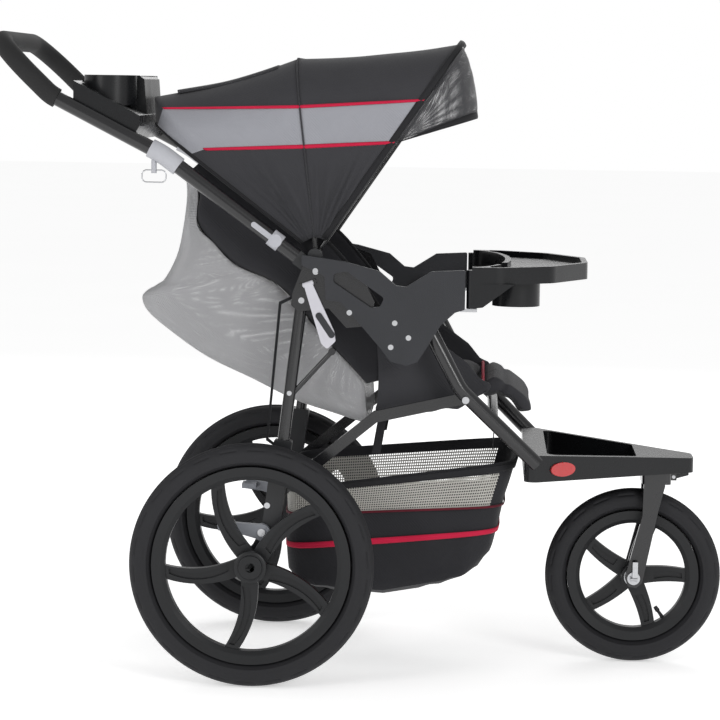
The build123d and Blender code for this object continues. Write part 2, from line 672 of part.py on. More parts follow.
def triggers():
    """A sliding fold trigger round each side tube: a short sleeve, a thumb disc and a flat bar above it."""
    y = TUBE_Y
    low = between(HANDLE_PIVOT, TUBE_BEND, 74)
    high = between(HANDLE_PIVOT, TUBE_BEND, 94)
    thumb = between(HANDLE_PIVOT, TUBE_BEND, 84)
    bar_end = between(HANDLE_PIVOT, TUBE_BEND, 128)
    face = y + TUBE_RADIUS + 0.3
    body = rod((low[0], y, low[1]), (high[0], y, high[1]), TUBE_RADIUS + 2)
    body += disc(thumb, 11, face, face + 3)
    body += link_bar(thumb, bar_end, 4.5, face, face + 2.5)
    body -= rod((low[0], y, low[1]), (bar_end[0], y, bar_end[1]), TUBE_RADIUS + 0.3)
    save_pair("fold_trigger", body)


def tether(collar_high):
    """Save the wire ring that hangs under the right-hand collar, and return its lug."""
    lug_x, lug_z = collar_high[0] + 6, collar_high[1] - TUBE_RADIUS - 24
    y = -TUBE_Y
    top = (collar_high[0] + 6, y, collar_high[1])
    lug = rod((lug_x, y, lug_z - 5), top, 4.5)
    hole = Pos(lug_x, y, lug_z) * (Rot(0, 90, 0) * Cylinder(2.0, 12))
    solid = rod(
        (TUBE_BEND[0], y, TUBE_BEND[1]), (GRIP_BEND[0], y, GRIP_BEND[1]), TUBE_RADIUS + 3.0
    )
    lug = (lug - hole - solid).solids().sort_by(Axis.Z)[0]
    wire = 1.1
    width, drop = 40.0, 20.0
    corners = [
        (lug_x - width / 2, y, lug_z), (lug_x + width / 2, y, lug_z),
        (lug_x + width / 2, y, lug_z - drop), (lug_x - width / 2, y, lug_z - drop),
    ]
    path = FilletPolyline(*corners, radius=8, close=True)
    plane = Plane(origin=path @ 0, z_dir=path % 0)
    save("tether_ring", sweep(plane * Circle(wire), path=path))
    return lug


# --- canopy -------------------------------------------------------------------------------------------------
def canopy():
    mid_reach = CANOPY_MID[1] - FABRIC_THICKNESS - LAYER_GAP - BOW_RADIUS
    front_reach = CANOPY_FRONT[1] - FABRIC_THICKNESS - LAYER_GAP - 2 - BOW_RADIUS
    save("canopy_mid_bow", bow(CANOPY_PIVOT, CANOPY_MID[0], mid_reach, MID_BOW_Y))
    front = bow(CANOPY_PIVOT, CANOPY_FRONT[0], front_reach, FRONT_BOW_Y)
    hinge = toward(CANOPY_PIVOT, CANOPY_FRONT[0], VISOR_HINGE_REACH)
    stud = disc(hinge, 3, FRONT_BOW_Y, VISOR_OUT + 1)
    save("canopy_front_bow", front + stud + mirrored(stud))
    rear = [station(*CANOPY_HEM), station(*CANOPY_REAR), station(*CANOPY_MID)]
    save("canopy_rear_cover", loft(rear, ruled=True))
    save("canopy_front_cover", loft([station(CANOPY_MID[0] - 0.2, CANOPY_MID[1]), station(*CANOPY_FRONT)], ruled=True))
    wall = 2.0
    bands = [
        u_band(fan_plane(hinge, angle), 6, reach, VISOR_OUT, wall, 60) for angle, reach in VISOR_STATIONS
    ]
    visor = loft(bands, ruled=True)
    ring = disc(hinge, 9, VISOR_OUT - wall, VISOR_OUT)
    visor += ring + mirrored(ring)
    hole = disc(hinge, 3 + SHAFT_CLEARANCE, VISOR_OUT - wall - 1, VISOR_OUT + 1)
    save("canopy_visor", visor - hole - mirrored(hole))


def station(angle, reach):
    plane = fan_plane(CANOPY_PIVOT, angle)
    return u_band(plane, CANOPY_START, reach, FABRIC_OUT, FABRIC_THICKNESS, CANOPY_CORNER)


# --- rear frame -----------------------------------------------------------------------------------------------
def rear_frame():
    """Legs, axle and brakes: everything that swings under on the leg pivots."""
    y = TUBE_Y
    leg_length = hypot(LEG_FOOT[0] - LEG_PIVOT[0], LEG_FOOT[1] - LEG_PIVOT[1])
    tube_start = between(LEG_PIVOT, LEG_FOOT, 14)
    tube_end = between(LEG_PIVOT, LEG_FOOT, leg_length - 90)
    upper = rod((tube_start[0], y, tube_start[1]), (tube_end[0], y, tube_end[1]), LEG_TUBE_RADIUS)
    head = disc(LEG_PIVOT, 15, y - KNUCKLE_HALF, y + KNUCKLE_HALF)
    head -= disc(LEG_PIVOT, PIN_RADIUS + SHAFT_CLEARANCE, y - KNUCKLE_HALF, y + KNUCKLE_HALF)
    head -= upper
    split = between(LEG_PIVOT, LEG_FOOT, (LEG_PIVOT[1] - LEG_SPLIT_Z) / (LEG_PIVOT[1] - LEG_FOOT[1]) * leg_length)
    axle_z = REAR_RADIUS
    lower = slab(
        [(split[0] - 15, LEG_SPLIT_Z + 1), (split[0] + 15, LEG_SPLIT_Z - 1)]
        + [(LEG_FOOT[0] + 15, LEG_FOOT[1] + 8), (LEG_FOOT[0] + 6, axle_z + 14), (16, axle_z - 12)]
        + [(0, axle_z - 20), (-16, axle_z - 12), (-16, axle_z + 10), (-2, axle_z + 26)]
        + [(LEG_FOOT[0] - 15, LEG_FOOT[1] + 14)],
        y - 12,
        y + 12,
        3,
    )
    axle_half = TRACK / 2 - HUB_WIDTH / 2 - 1
    tube = disc((0, axle_z), AXLE_RADIUS, -axle_half, axle_half)
    stub_out = TRACK / 2 + HUB_WIDTH / 2 - 0.5
    stub = disc((0, axle_z), STUB_RADIUS, axle_half, stub_out)
    brake_pivot = (LEG_FOOT[0] - 14, LEG_FOOT[1] + 8)
    brake_pin = disc(brake_pivot, SMALL_PIN_RADIUS, y, y + 25)
    brake_pin += disc(brake_pivot, 6.5, y + 25, y + 27.5)
    bolt_at = (LEG_FOOT[0] - 6, LEG_FOOT[1] + 52)
    bolt = disc(bolt_at, 5, y + 12, y + 15)
    strut_stud = disc(STRUT_FOOT, SMALL_PIN_RADIUS, STRUT_Y + BAR_THICKNESS / 2 + 3, y - 12)
    save("leg_castings", both(head, lower - upper - tube - brake_pin))
    save("leg_tubes", both(upper - upper_bore(tube_start, tube_end)))
    save("rear_axle", group(tube, stub, mirrored(stub)))
    button = disc(between(LEG_PIVOT, LEG_FOOT, 156), 4, y + LEG_TUBE_RADIUS - 2, y + LEG_TUBE_RADIUS + 2)
    save("leg_fasteners", both(strut_stud, bolt, brake_pin, button - upper))
    strap = slab(
        [(58, 646), (37, 636), (18, 405), (split[0] - 16, 396), (split[0] - 15.2, 400), (22, 408)]
        + [(41, 632), (58, 641)],
        y - 4,
        y + 4,
    )
    save("leg_straps", both(strap - head - disc(LEG_PIVOT, 15, y - 5, y + 5) - lower))
    link = rod((126, y, 555), (62, y, 484), 4) - upper
    link += disc((126, 555), 6, y - 5, y + 5)
    save("latch_hooks", both(link))
    brakes(brake_pivot)


def upper_bore(start, end):
    y = TUBE_Y
    return rod((start[0], y, start[1]), (end[0], y, end[1]), LEG_TUBE_RADIUS - TUBE_WALL)


def brakes(pivot):
    """A foot pedal on each leg."""
    low, high = TUBE_Y + 12.5, TUBE_Y + 24.5
    pedal = disc(pivot, 14, low, high)
    pedal += slab(
        [(pivot[0], pivot[1] + 13), (pivot[0] - 66, pivot[1] + 17), (pivot[0] - 74, pivot[1] + 10)]
        + [(pivot[0] - 72, pivot[1] + 2), (pivot[0] - 40, pivot[1] - 2), (pivot[0], pivot[1] - 13)],
        low,
        high,
    )
    pad = Pos(pivot[0] - 60, TUBE_Y + 4, pivot[1] + 10) * Box(26, 36, 9)
    pedal += pad
    pedal -= disc(pivot, SMALL_PIN_RADIUS + SHAFT_CLEARANCE, low, high)
    save_pair("brake_pedal", pedal)


def linkage():
    """The folding rail and strut on each side of the seat."""
    half = BAR_THICKNESS / 2
    knee_pin = disc(KNEE, SMALL_PIN_RADIUS, STRUT_Y - half - 3.5, RAIL_Y + half)
    knee_pin += disc(KNEE, SMALL_PIN_RADIUS + 2.5, STRUT_Y - half - 3.5, STRUT_Y - half - 0.5)
    rail = link_bar(RAIL_FRONT, KNEE, 9.5, RAIL_Y - half, RAIL_Y + half)
    rail -= disc(RAIL_FRONT, SMALL_PIN_RADIUS + SHAFT_CLEARANCE, RAIL_Y - half, RAIL_Y + half)
    save("seat_rails", both(rail - knee_pin, knee_pin))
    strut = link_bar(KNEE, STRUT_FOOT, 9.0, STRUT_Y - half, STRUT_Y + half)
    for end in (KNEE, STRUT_FOOT):
        strut -= disc(end, SMALL_PIN_RADIUS + SHAFT_CLEARANCE, STRUT_Y - half, STRUT_Y + half)
    save("fold_struts", both(strut))


def link_bar(start, end, radius, y_low, y_high):
    """A flat bar with round ends."""
    line = (end[0] - start[0], end[1] - start[1])
    size = hypot(*line)
    nx, nz = -line[1] / size * radius, line[0] / size * radius
    body = slab(
        [(start[0] + nx, start[1] + nz), (end[0] + nx, end[1] + nz)]
        + [(end[0] - nx, end[1] - nz), (start[0] - nx, start[1] - nz)],
        y_low,
        y_high,
    )
    return body + disc(start, radius, y_low, y_high) + disc(end, radius, y_low, y_high)


# --- seat ---------------------------------------------------------------------------------------------------
BOARD_REAR = ((180, 497), (33, 657), (-45, 694), (-105, 757), (-104, 807), (-118, 848))
BOARD_FRONT = ((187, 503), (39, 663), (-40, 702), (-97, 762), (-96, 806), (-110, 851))
MESH_OUTLINE = (
    (-121, 849), (-144, 838), (-143, 799), (-148, 745), (-162, 691), (-185, 648), (-208, 643),
    (-214, 631), (-201, 609), (-157, 578), (-89, 535), (59, 465), (186, 424), (180, 494),
)


def seat():
    """Sling, cushion and leg rest on the front frame; board, pad, wings and mesh on the backrest."""
    half = SLING_OUT
    base = slab([(205, 447), (334, 460), (384, 492), (384, 496), (333, 464), (205, 451)], -half, half)
    side = slab(
        [(205, 447), (334, 460), (384, 492), (390, 530), (378, 546), (306, 622), (215, 622), (196, 560)],
        half - SLING_WALL,
        half,
    )
    save("seat_sling", base + side + mirrored(side))
    cushion = slab([(226, 460), (392, 505), (398, 533), (380, 545), (238, 494)], -PAD_HALF, PAD_HALF, 6)
    save("seat_cushion", cushion)
    rest = slab(
        [(406, 508), (412, 536), (440, 518), (465, 495), (473, 452), (467, 441), (447, 447), (432, 470)],
        -PAD_HALF,
        PAD_HALF,
        3,
    )
    save("leg_rest", rest)
    board = slab(BOARD_REAR + BOARD_FRONT[::-1], -BACK_HALF, BACK_HALF)
    pad_front = ((-72, 866), (-42, 812), (8, 745), (78, 676), (206, 522), (192, 509))
    back_pad = slab([(40, 665), (-39, 704), (-96, 763), (-94, 806), (-107, 852)] + list(pad_front), -PAD_HALF, PAD_HALF)
    save("backrest_pad", back_pad)
    wing = slab(
        list(BOARD_REAR) + [(-84, 880), (-40, 862), (70, 770), (140, 706), (222, 590), (212, 512)],
        WING_OUT - WING_WALL,
        WING_OUT,
    )
    save("backrest_board", group(board, wing, mirrored(wing)))
    rear_gap = [(x - 1.0, z - 1.0) for x, z in BOARD_REAR]
    outline = list(MESH_OUTLINE) + rear_gap[1:-1]
    mesh = make_face(Polyline(*outline, close=True))
    hollow = offset(mesh, amount=-4)
    outer = extrude(side_plane(BACK_HALF) * mesh, amount=2 * BACK_HALF)
    inner = extrude(side_plane(BACK_HALF - 4) * hollow, amount=2 * BACK_HALF - 8)
    save("back_mesh", outer - inner)
    harness()


def harness():
    """Shoulder straps on the backrest, lap straps and buckle on the cushion."""
    strap = slab([(-40, 822), (9, 750), (80, 681), (150, 597), (152, 599), (82, 683), (11, 752), (-38, 823)], 55, 85)
    save("shoulder_straps", both(strap))
    lap = slab([(240, 498), (330, 529), (330, 531), (240, 500)], 35, 120)
    buckle = slab([(318, 532), (352, 544), (348, 556), (314, 544)], -24, 24)
    buckle = fillet(buckle.edges().filter_by(Axis.Y), 3)
    save("harness_buckle", group(buckle, lap, mirrored(lap)))


def basket():
    """The open-topped basket under the seat and the straps that hang it."""
    outline = [
        (45, 366), (444, 401), (400, 215), (382, 190), (332, 168), (268, 152), (189, 144), (75, 150), (45, 176),
    ]
    inner = [
        (48, 380), (440, 420), (397, 216), (380, 192.5), (331, 171), (267, 155), (189, 147), (76, 153), (48, 177.5),
    ]
    shell = slab(outline, -BASKET_HALF, BASKET_HALF)
    shell -= slab(inner, -BASKET_HALF + BASKET_WALL, BASKET_HALF - BASKET_WALL)
    save("storage_basket", shell)
    front = slab(
        [(389, 396.4), (401, 397.6), (401, CROSS_TUBE[1] - 5), (389, CROSS_TUBE[1] - 5)],
        BASKET_HALF - 22,
        BASKET_HALF,
    )
    cross = rod(
        (CROSS_TUBE[0], -TUBE_Y, CROSS_TUBE[1]), (CROSS_TUBE[0], TUBE_Y, CROSS_TUBE[1]), CROSS_TUBE_RADIUS
    )
    rear = slab([(205, 446), (217, 447.2), (206, 381.5), (194, 380.5)], BASKET_HALF - 2, BASKET_HALF)
    save("basket_straps", both(front - cross - shell) + both(rear - shell))


# --- child tray -----------------------------------------------------------------------------------------------
def child_tray():
    """The child's tray between the panels' front ends, hinged on the right and latched on the left."""
    arm_y = TRAY_ARM_Y
    outer = arm_y + TRAY_ARM_RADIUS
    front = TRAY_FRONT_X
    half = [(TRAY_REAR_X, outer), (TRAY_REAR_X + 50, outer - 3), (front - 62, outer * 0.76), (front, outer * 0.28)]
    outline = make_face(Polyline(*half, *[(x, -y) for x, y in half[::-1]], close=True))
    outline = fillet(outline.vertices().sort_by(Axis.X)[2:], 38)
    belly = Pos(TRAY_REAR_X, 0) * Ellipse(TRAY_BELLY, arm_y - TRAY_ARM_RADIUS)
    plan = outline - belly
    tray = extrude(Pos(0, 0, TRAY_BOTTOM) * plan, amount=TRAY_TOP - TRAY_BOTTOM)
    recess = offset(outline, amount=-TRAY_LIP, kind=Kind.INTERSECTION)
    recess -= Pos(TRAY_REAR_X, 0) * Ellipse(TRAY_BELLY + TRAY_LIP, arm_y - TRAY_ARM_RADIUS + 2)
    recess -= Pos(TRAY_REAR_X, 0) * Rectangle(60, 3 * TRACK)
    tray -= extrude(Pos(0, 0, TRAY_TOP - 10) * recess, amount=20)
    for side in (-1, 1):
        end = (TRAY_REAR_X, side * arm_y, TRAY_ARM_BOTTOM)
        tray += rod(end, (end[0], end[1], TRAY_TOP - 5), TRAY_ARM_RADIUS)
        skirt = slab(
            [(TRAY_REAR_X, TRAY_ARM_BOTTOM), (TRAY_REAR_X + 18, TRAY_ARM_BOTTOM + 2)]
            + [(TRAY_REAR_X + 70, TRAY_BOTTOM + 1), (TRAY_REAR_X, TRAY_BOTTOM + 1)],
            side * arm_y - TRAY_ARM_RADIUS,
            side * arm_y + TRAY_ARM_RADIUS,
        )
        tray += skirt
        tray -= end_bore(side * arm_y)
    # the left arm's bore is open to the rear, so that the arm can leave its post
    slot_z = TRAY_ARM_BOTTOM + 15
    tray -= Pos(TRAY_REAR_X - 10, arm_y, slot_z) * Box(20, 11, 32)
    x, y = TRAY_CUP
    cup_floor = TRAY_TOP - 10 - TRAY_CUP_DEPTH
    tray += rod((x, y, cup_floor - 4), (x, y, TRAY_BOTTOM + 4), TRAY_CUP_RADIUS + 4)
    tray -= rod((x, y, cup_floor), (x, y, TRAY_TOP + 5), TRAY_CUP_RADIUS)
    save("child_tray", tray)


def end_bore(y):
    return rod(
        (TRAY_REAR_X, y, TRAY_ARM_BOTTOM - 1), (TRAY_REAR_X, y, TRAY_ARM_BOTTOM + 31), 4 + SHAFT_CLEARANCE
    )


def tray_post():
    """The short post under a tray arm, held by a foot that reaches back into the panel."""
    y = TRAY_ARM_Y
    foot = Pos(TRAY_REAR_X - 5, y, TRAY_ARM_BOTTOM - 3.5) * Box(28, 12, 5)
    return foot + rod((TRAY_REAR_X, y, TRAY_ARM_BOTTOM - 3), (TRAY_REAR_X, y, TRAY_ARM_BOTTOM + 30), 4)


os.makedirs("parts", exist_ok=True)
rear_wheels()
front_wheel()
fork()
front_frame()
handle()
canopy()
rear_frame()
linkage()
seat()
basket()
child_tray()
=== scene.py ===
"""Jogging stroller: cloth, pads, tyres, finishes, floor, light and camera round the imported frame.

Sizes are in millimetres, drawn from the rear axle and the ground, and place() turns them to metres.
Left is +Y. Each sub-assembly is a class that holds its sizes and builds and dresses its own pieces.
"""

from __future__ import annotations

import json
import logging
import math
from collections.abc import Callable, Iterable, Sequence
from dataclasses import dataclass, field
from enum import Enum

import bmesh
import bpy
from mathutils import Matrix, Vector, noise

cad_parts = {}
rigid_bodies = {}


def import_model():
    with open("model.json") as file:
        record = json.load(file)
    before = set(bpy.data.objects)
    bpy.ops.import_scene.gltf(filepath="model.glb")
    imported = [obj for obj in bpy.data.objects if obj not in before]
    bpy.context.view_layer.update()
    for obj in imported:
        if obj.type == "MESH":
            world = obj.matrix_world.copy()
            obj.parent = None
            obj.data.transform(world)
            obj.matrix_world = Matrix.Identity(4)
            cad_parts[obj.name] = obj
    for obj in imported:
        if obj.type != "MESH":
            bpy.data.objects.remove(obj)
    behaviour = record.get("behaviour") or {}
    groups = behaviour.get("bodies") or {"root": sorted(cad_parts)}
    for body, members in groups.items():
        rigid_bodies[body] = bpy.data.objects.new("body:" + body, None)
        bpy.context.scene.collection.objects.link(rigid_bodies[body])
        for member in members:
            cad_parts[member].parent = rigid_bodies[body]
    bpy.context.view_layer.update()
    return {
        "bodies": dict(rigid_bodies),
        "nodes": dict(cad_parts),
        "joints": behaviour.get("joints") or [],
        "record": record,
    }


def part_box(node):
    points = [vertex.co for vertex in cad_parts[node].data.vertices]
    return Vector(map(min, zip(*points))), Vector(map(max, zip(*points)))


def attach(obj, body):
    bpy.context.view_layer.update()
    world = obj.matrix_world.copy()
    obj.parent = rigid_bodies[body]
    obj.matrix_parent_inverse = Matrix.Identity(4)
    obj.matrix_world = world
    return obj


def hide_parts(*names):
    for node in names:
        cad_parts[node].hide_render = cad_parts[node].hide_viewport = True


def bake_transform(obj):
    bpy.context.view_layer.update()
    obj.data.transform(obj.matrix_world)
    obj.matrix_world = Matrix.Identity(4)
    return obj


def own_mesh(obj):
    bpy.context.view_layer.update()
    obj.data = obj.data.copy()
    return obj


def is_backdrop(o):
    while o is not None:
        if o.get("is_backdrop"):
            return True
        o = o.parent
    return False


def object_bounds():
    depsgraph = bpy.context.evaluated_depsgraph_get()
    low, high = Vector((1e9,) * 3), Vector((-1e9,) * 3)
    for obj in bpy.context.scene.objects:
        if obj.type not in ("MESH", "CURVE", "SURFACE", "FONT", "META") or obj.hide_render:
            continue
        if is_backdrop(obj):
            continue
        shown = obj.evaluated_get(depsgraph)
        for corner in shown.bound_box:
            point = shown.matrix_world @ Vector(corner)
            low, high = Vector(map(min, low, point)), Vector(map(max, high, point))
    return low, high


LOG = logging.getLogger("stroller")
REAR_AXLE_X = -171.45
BAND_SCALE = 1000 * 2 * math.pi / 20  # a Wave texture of scale 1 has a band every 2 pi / 20
Grid = list[list[Vector]]


class Side(Enum):
    """The two sides of the stroller, with the sign of their Y."""

    LEFT = 1
    RIGHT = -1


class Thread(Enum):
    """How a cloth is made, with the pitch in millimetres that its pattern is drawn at."""

    WOVEN = 2.6  # the real one is 0.6, too fine to show
    KNIT = 2.8  # the real one is 2.0
    NET = 3.8  # the real one is 2.5


def place(x: float, y: float, z: float) -> Vector:
    """A drawn point in metres in the shared frame."""
    return Vector(((x + REAR_AXLE_X) / 1000, y / 1000, z / 1000))


def lerp(a: float, b: float, t: float) -> float:
    """The value a share t of the way from a to b."""
    return a + (b - a) * t


def smooth(t: float) -> float:
    """A share from 0 to 1 that starts and ends slowly."""
    t = min(max(t, 0.0), 1.0)
    return t * t * (3 - 2 * t)


def steps(start: float, end: float, count: int) -> list[float]:
    """Evenly spaced values from start to end, count intervals long."""
    return [lerp(start, end, i / count) for i in range(count + 1)]


def along(points: Sequence[tuple[float, float]], x: float) -> float:
    """Reads a profile at x.

    Args:
        points: Corners of the profile, with x rising.
        x: Where it is read.

    Returns:
        The profile's height there, held level past its ends.
    """
    if x <= points[0][0]:
        return points[0][1]
    for (x0, z0), (x1, z1) in zip(points, points[1:]):
        if x <= x1:
            return lerp(z0, z1, (x - x0) / (x1 - x0))
    return points[-1][1]


def curve_through(points: Sequence[tuple[float, float]], count: int) -> list[tuple[float, float]]:
    """Rounds a profile into a soft curve through its corners.

    Args:
        points: Corners of the profile.
        count: Intervals between two corners.

    Returns:
        Points of a Catmull-Rom curve.
    """
    line = [Vector(p) for p in points]
    line = [2 * line[0] - line[1], *line, 2 * line[-1] - line[-2]]
    out: list[tuple[float, float]] = []
    for i in range(1, len(line) - 2):
        a, b, c, d = line[i - 1 : i + 3]
        for k in range(count):
            t = k / count
            p = 0.5 * (
                2 * b + (c - a) * t + (2 * a - 5 * b + 4 * c - d) * t**2 + (3 * b - a - 3 * c + d) * t**3
            )
            out.append((p.x, p.y))
    out.append((line[-2].x, line[-2].y))
    return out


# --- finishes ---------------------------------------------------------------------------------------------


def linear(colour: str) -> tuple[float, float, float, float]:
    """Turns an sRGB hex colour to linear light.

    Args:
        colour: Six hex digits after a hash.

    Returns:
        Red, green, blue and 1.
    """
    parts = [int(colour[i : i + 2], 16) / 255 for i in (1, 3, 5)]
    light = [p / 12.92 if p <= 0.04045 else ((p + 0.055) / 1.055) ** 2.4 for p in parts]
    return (light[0], light[1], light[2], 1.0)


def add_node(
    tree: bpy.types.NodeTree,
    kind: str,
    settings: dict[str | int, object] | None = None,
    links: dict[str | int, bpy.types.NodeSocket] | None = None,
) -> bpy.types.Node:
    """Adds a node with its settings and links.

    Args:
        tree: The material's node tree.
        kind: Blender's name for the node.
        settings: Socket values by name or number, and node attributes by name.
        links: What feeds each socket.

    Returns:
        The new node.
    """
    node = tree.nodes.new(kind)
    for key, value in (settings or {}).items():
        if isinstance(key, int) or key in node.inputs:
            node.inputs[key].default_value = value
        else:
            setattr(node, key, value)
    for key, socket in (links or {}).items():
        tree.links.new(socket, node.inputs[key])
    return node


@dataclass(frozen=True)
class Finish:
    """A plain surface: its name, colours and gloss. Subclasses add their own pattern."""

    name: str
    colour: str
    accent: str
    roughness: float
    patch_mm: float = 60.0
    specular: float = 0.5

    def shade(self, tree: bpy.types.NodeTree, shader: bpy.types.Node) -> None:
        """Links this finish's pattern to the shader."""
        self.tint(tree, shader, self.patch_mm)

    def tint(self, tree: bpy.types.NodeTree, shader: bpy.types.Node, patch_mm: float) -> bpy.types.Node:
        """Varies the colour and the gloss in soft patches.

        Args:
            tree: The material's node tree.
            shader: Its Principled shader.
            patch_mm: Size of a patch.

        Returns:
            The noise node, for a subclass to use again.
        """
        where = add_node(tree, "ShaderNodeTexCoord").outputs["Object"]
        cloud = add_node(
            tree,
            "ShaderNodeTexNoise",
            {"Scale": 1000 / patch_mm, "Detail": 5.0, "Roughness": 0.6},
            {"Vector": where},
        )
        mix = add_node(
            tree,
            "ShaderNodeMix",
            {"data_type": "RGBA", 6: linear(self.colour), 7: linear(self.accent)},
            {0: cloud.outputs["Fac"]},
        )
        tree.links.new(mix.outputs[2], shader.inputs["Base Color"])
        gloss = add_node(
            tree,
            "ShaderNodeMapRange",
            {"To Min": self.roughness - 0.07, "To Max": self.roughness + 0.09},
            {"Value": cloud.outputs["Fac"]},
        )
        tree.links.new(gloss.outputs["Result"], shader.inputs["Roughness"])
        return cloud

    def bump(
        self, tree: bpy.types.NodeTree, shader: bpy.types.Node, height: bpy.types.NodeSocket, depth_mm: float
    ) -> None:
        """Raises the surface by a pattern.

        Args:
            tree: The material's node tree.
            shader: Its Principled shader.
            height: The pattern, from 0 to 1.
            depth_mm: How far 1 stands proud of 0.
        """
        raised = add_node(
            tree, "ShaderNodeBump", {"Strength": 1.0, "Distance": depth_mm / 1000}, {"Height": height}
        )
        tree.links.new(raised.outputs["Normal"], shader.inputs["Normal"])

    def make(self) -> bpy.types.Material:
        """Builds the material, or finds it if it is already built."""
        found = bpy.data.materials.get(self.name)
        if found:
            return found
        material = bpy.data.materials.new(self.name)
        material.use_nodes = True
        tree = material.node_tree
        shader = tree.nodes["Principled BSDF"]
        shader.inputs["Roughness"].default_value = self.roughness
        shader.inputs["Specular IOR Level"].default_value = self.specular
        self.shade(tree, shader)
        return material


@dataclass(frozen=True)
class PowderCoat(Finish):
    """Powder-coated steel tube: a smooth glossy skin whose faint orange peel breaks up its highlights."""

    peel_mm: float = 2.2

    def shade(self, tree: bpy.types.NodeTree, shader: bpy.types.Node) -> None:
        """Adds the orange peel and a clear top layer."""
        self.tint(tree, shader, self.patch_mm)
        where = add_node(tree, "ShaderNodeTexCoord").outputs["Object"]
        peel = add_node(
            tree, "ShaderNodeTexNoise", {"Scale": 1000 / self.peel_mm, "Detail": 1.0}, {"Vector": where}
        )
        self.bump(tree, shader, peel.outputs["Fac"], 0.05)
        shader.inputs["Coat Weight"].default_value = 0.35
        shader.inputs["Coat Roughness"].default_value = 0.12


@dataclass(frozen=True)
class MouldedPlastic(Finish):
    """Injection-moulded plastic with an etched grain: soft broad highlights, paler in soft random patches."""

    grain_mm: float = 1.6
    grain_depth_mm: float = 0.12

    def shade(self, tree: bpy.types.NodeTree, shader: bpy.types.Node) -> None:
        """Adds the etched grain."""
        self.tint(tree, shader, self.patch_mm)
        where = add_node(tree, "ShaderNodeTexCoord").outputs["Object"]
        grain = add_node(
            tree,
            "ShaderNodeTexVoronoi",
            {"Scale": 1000 / self.grain_mm, "Randomness": 1.0},
            {"Vector": where},
        )
        self.bump(tree, shader, grain.outputs["Distance"], self.grain_depth_mm)


@dataclass(frozen=True)
class Metal(Finish):
    """Zinc-plated or painted metal: even grey shine with fine lines left by forming."""

    metallic: float = 1.0
    line_mm: float = 0.8

    def shade(self, tree: bpy.types.NodeTree, shader: bpy.types.Node) -> None:
        """Adds fine forming lines."""
        self.tint(tree, shader, self.patch_mm)
        where = add_node(tree, "ShaderNodeTexCoord").outputs["Object"]
        stretched = add_node(tree, "ShaderNodeMapping", {"Scale": (1.0, 8.0, 1.0)}, {"Vector": where})
        lines = add_node(
            tree,
            "ShaderNodeTexNoise",
            {"Scale": 1000 / self.line_mm / 8, "Detail": 3.0},
            {"Vector": stretched.outputs["Vector"]},
        )
        self.bump(tree, shader, lines.outputs["Fac"], 0.03)
        shader.inputs["Metallic"].default_value = self.metallic


@dataclass(frozen=True)
class Rubber(Finish):
    """Vulcanised rubber: matt, with grey bloom in soft random patches and a faint skin texture."""

    skin_mm: float = 2.5

    def shade(self, tree: bpy.types.NodeTree, shader: bpy.types.Node) -> None:
        """Adds the skin texture."""
        self.tint(tree, shader, self.patch_mm)
        where = add_node(tree, "ShaderNodeTexCoord").outputs["Object"]
        skin = add_node(
            tree,
            "ShaderNodeTexNoise",
            {"Scale": 1000 / self.skin_mm, "Detail": 4.0, "Roughness": 0.7},
            {"Vector": where},
        )
        self.bump(tree, shader, skin.outputs["Fac"], 0.18)


@dataclass(frozen=True)
class Lens(Finish):
    """Moulded acrylic reflector: a clear glossy face over a grid of small prisms."""

    prism_mm: float = 3.0

    def shade(self, tree: bpy.types.NodeTree, shader: bpy.types.Node) -> None:
        """Adds the grid of prisms."""
        self.tint(tree, shader, self.patch_mm)
        where = add_node(tree, "ShaderNodeTexCoord").outputs["Object"]
        prisms = add_node(
            tree,
            "ShaderNodeTexVoronoi",
            {"distance": "CHEBYCHEV", "Scale": 1000 / self.prism_mm, "Randomness": 0.0},
            {"Vector": where},
        )
        self.bump(tree, shader, prisms.outputs["Distance"], 0.5)
        shader.inputs["Coat Weight"].default_value = 1.0
        shader.inputs["Coat Roughness"].default_value = 0.04


@dataclass(frozen=True)
class LitPaper(Finish):
    """Studio paper lit from below, so that it stays white to its far edge."""

    glow: float = 0.42

    def shade(self, tree: bpy.types.NodeTree, shader: bpy.types.Node) -> None:
        """Adds the even light that comes through the paper."""
        self.tint(tree, shader, self.patch_mm)
        shader.inputs["Emission Color"].default_value = linear("#ffffff")
        shader.inputs["Emission Strength"].default_value = self.glow


@dataclass(frozen=True)
class Cloth(Finish):
    """Woven polyester: matt, with a soft sheen at grazing angles and a fine cross weave."""

    thread: Thread = Thread.WOVEN
    sheen: float = 0.25
    depth_mm: float = 0.25

    def shade(self, tree: bpy.types.NodeTree, shader: bpy.types.Node) -> None:
        """Adds the weave from bands across the three directions."""
        self.tint(tree, shader, self.patch_mm)
        where = add_node(tree, "ShaderNodeTexCoord").outputs["Object"]
        pitch = self.thread.value
        warp = add_node(
            tree,
            "ShaderNodeTexWave",
            {"bands_direction": "DIAGONAL", "Scale": BAND_SCALE / pitch, "Distortion": 0.6, "Detail": 1.0},
            {"Vector": where},
        )
        turned = add_node(tree, "ShaderNodeMapping", {"Rotation": (0.0, 1.57, 1.57)}, {"Vector": where})
        weft = add_node(
            tree,
            "ShaderNodeTexWave",
            {"bands_direction": "X", "Scale": BAND_SCALE / pitch, "Distortion": 0.6, "Detail": 1.0},
            {"Vector": turned.outputs["Vector"]},
        )
        cross = add_node(
            tree,
            "ShaderNodeMath",
            {"operation": "MULTIPLY"},
            {0: warp.outputs["Fac"], 1: weft.outputs["Fac"]},
        )
        self.bump(tree, shader, cross.outputs["Value"], self.depth_mm)
        shader.inputs["Sheen Weight"].default_value = self.sheen
        shader.inputs["Sheen Roughness"].default_value = 0.5


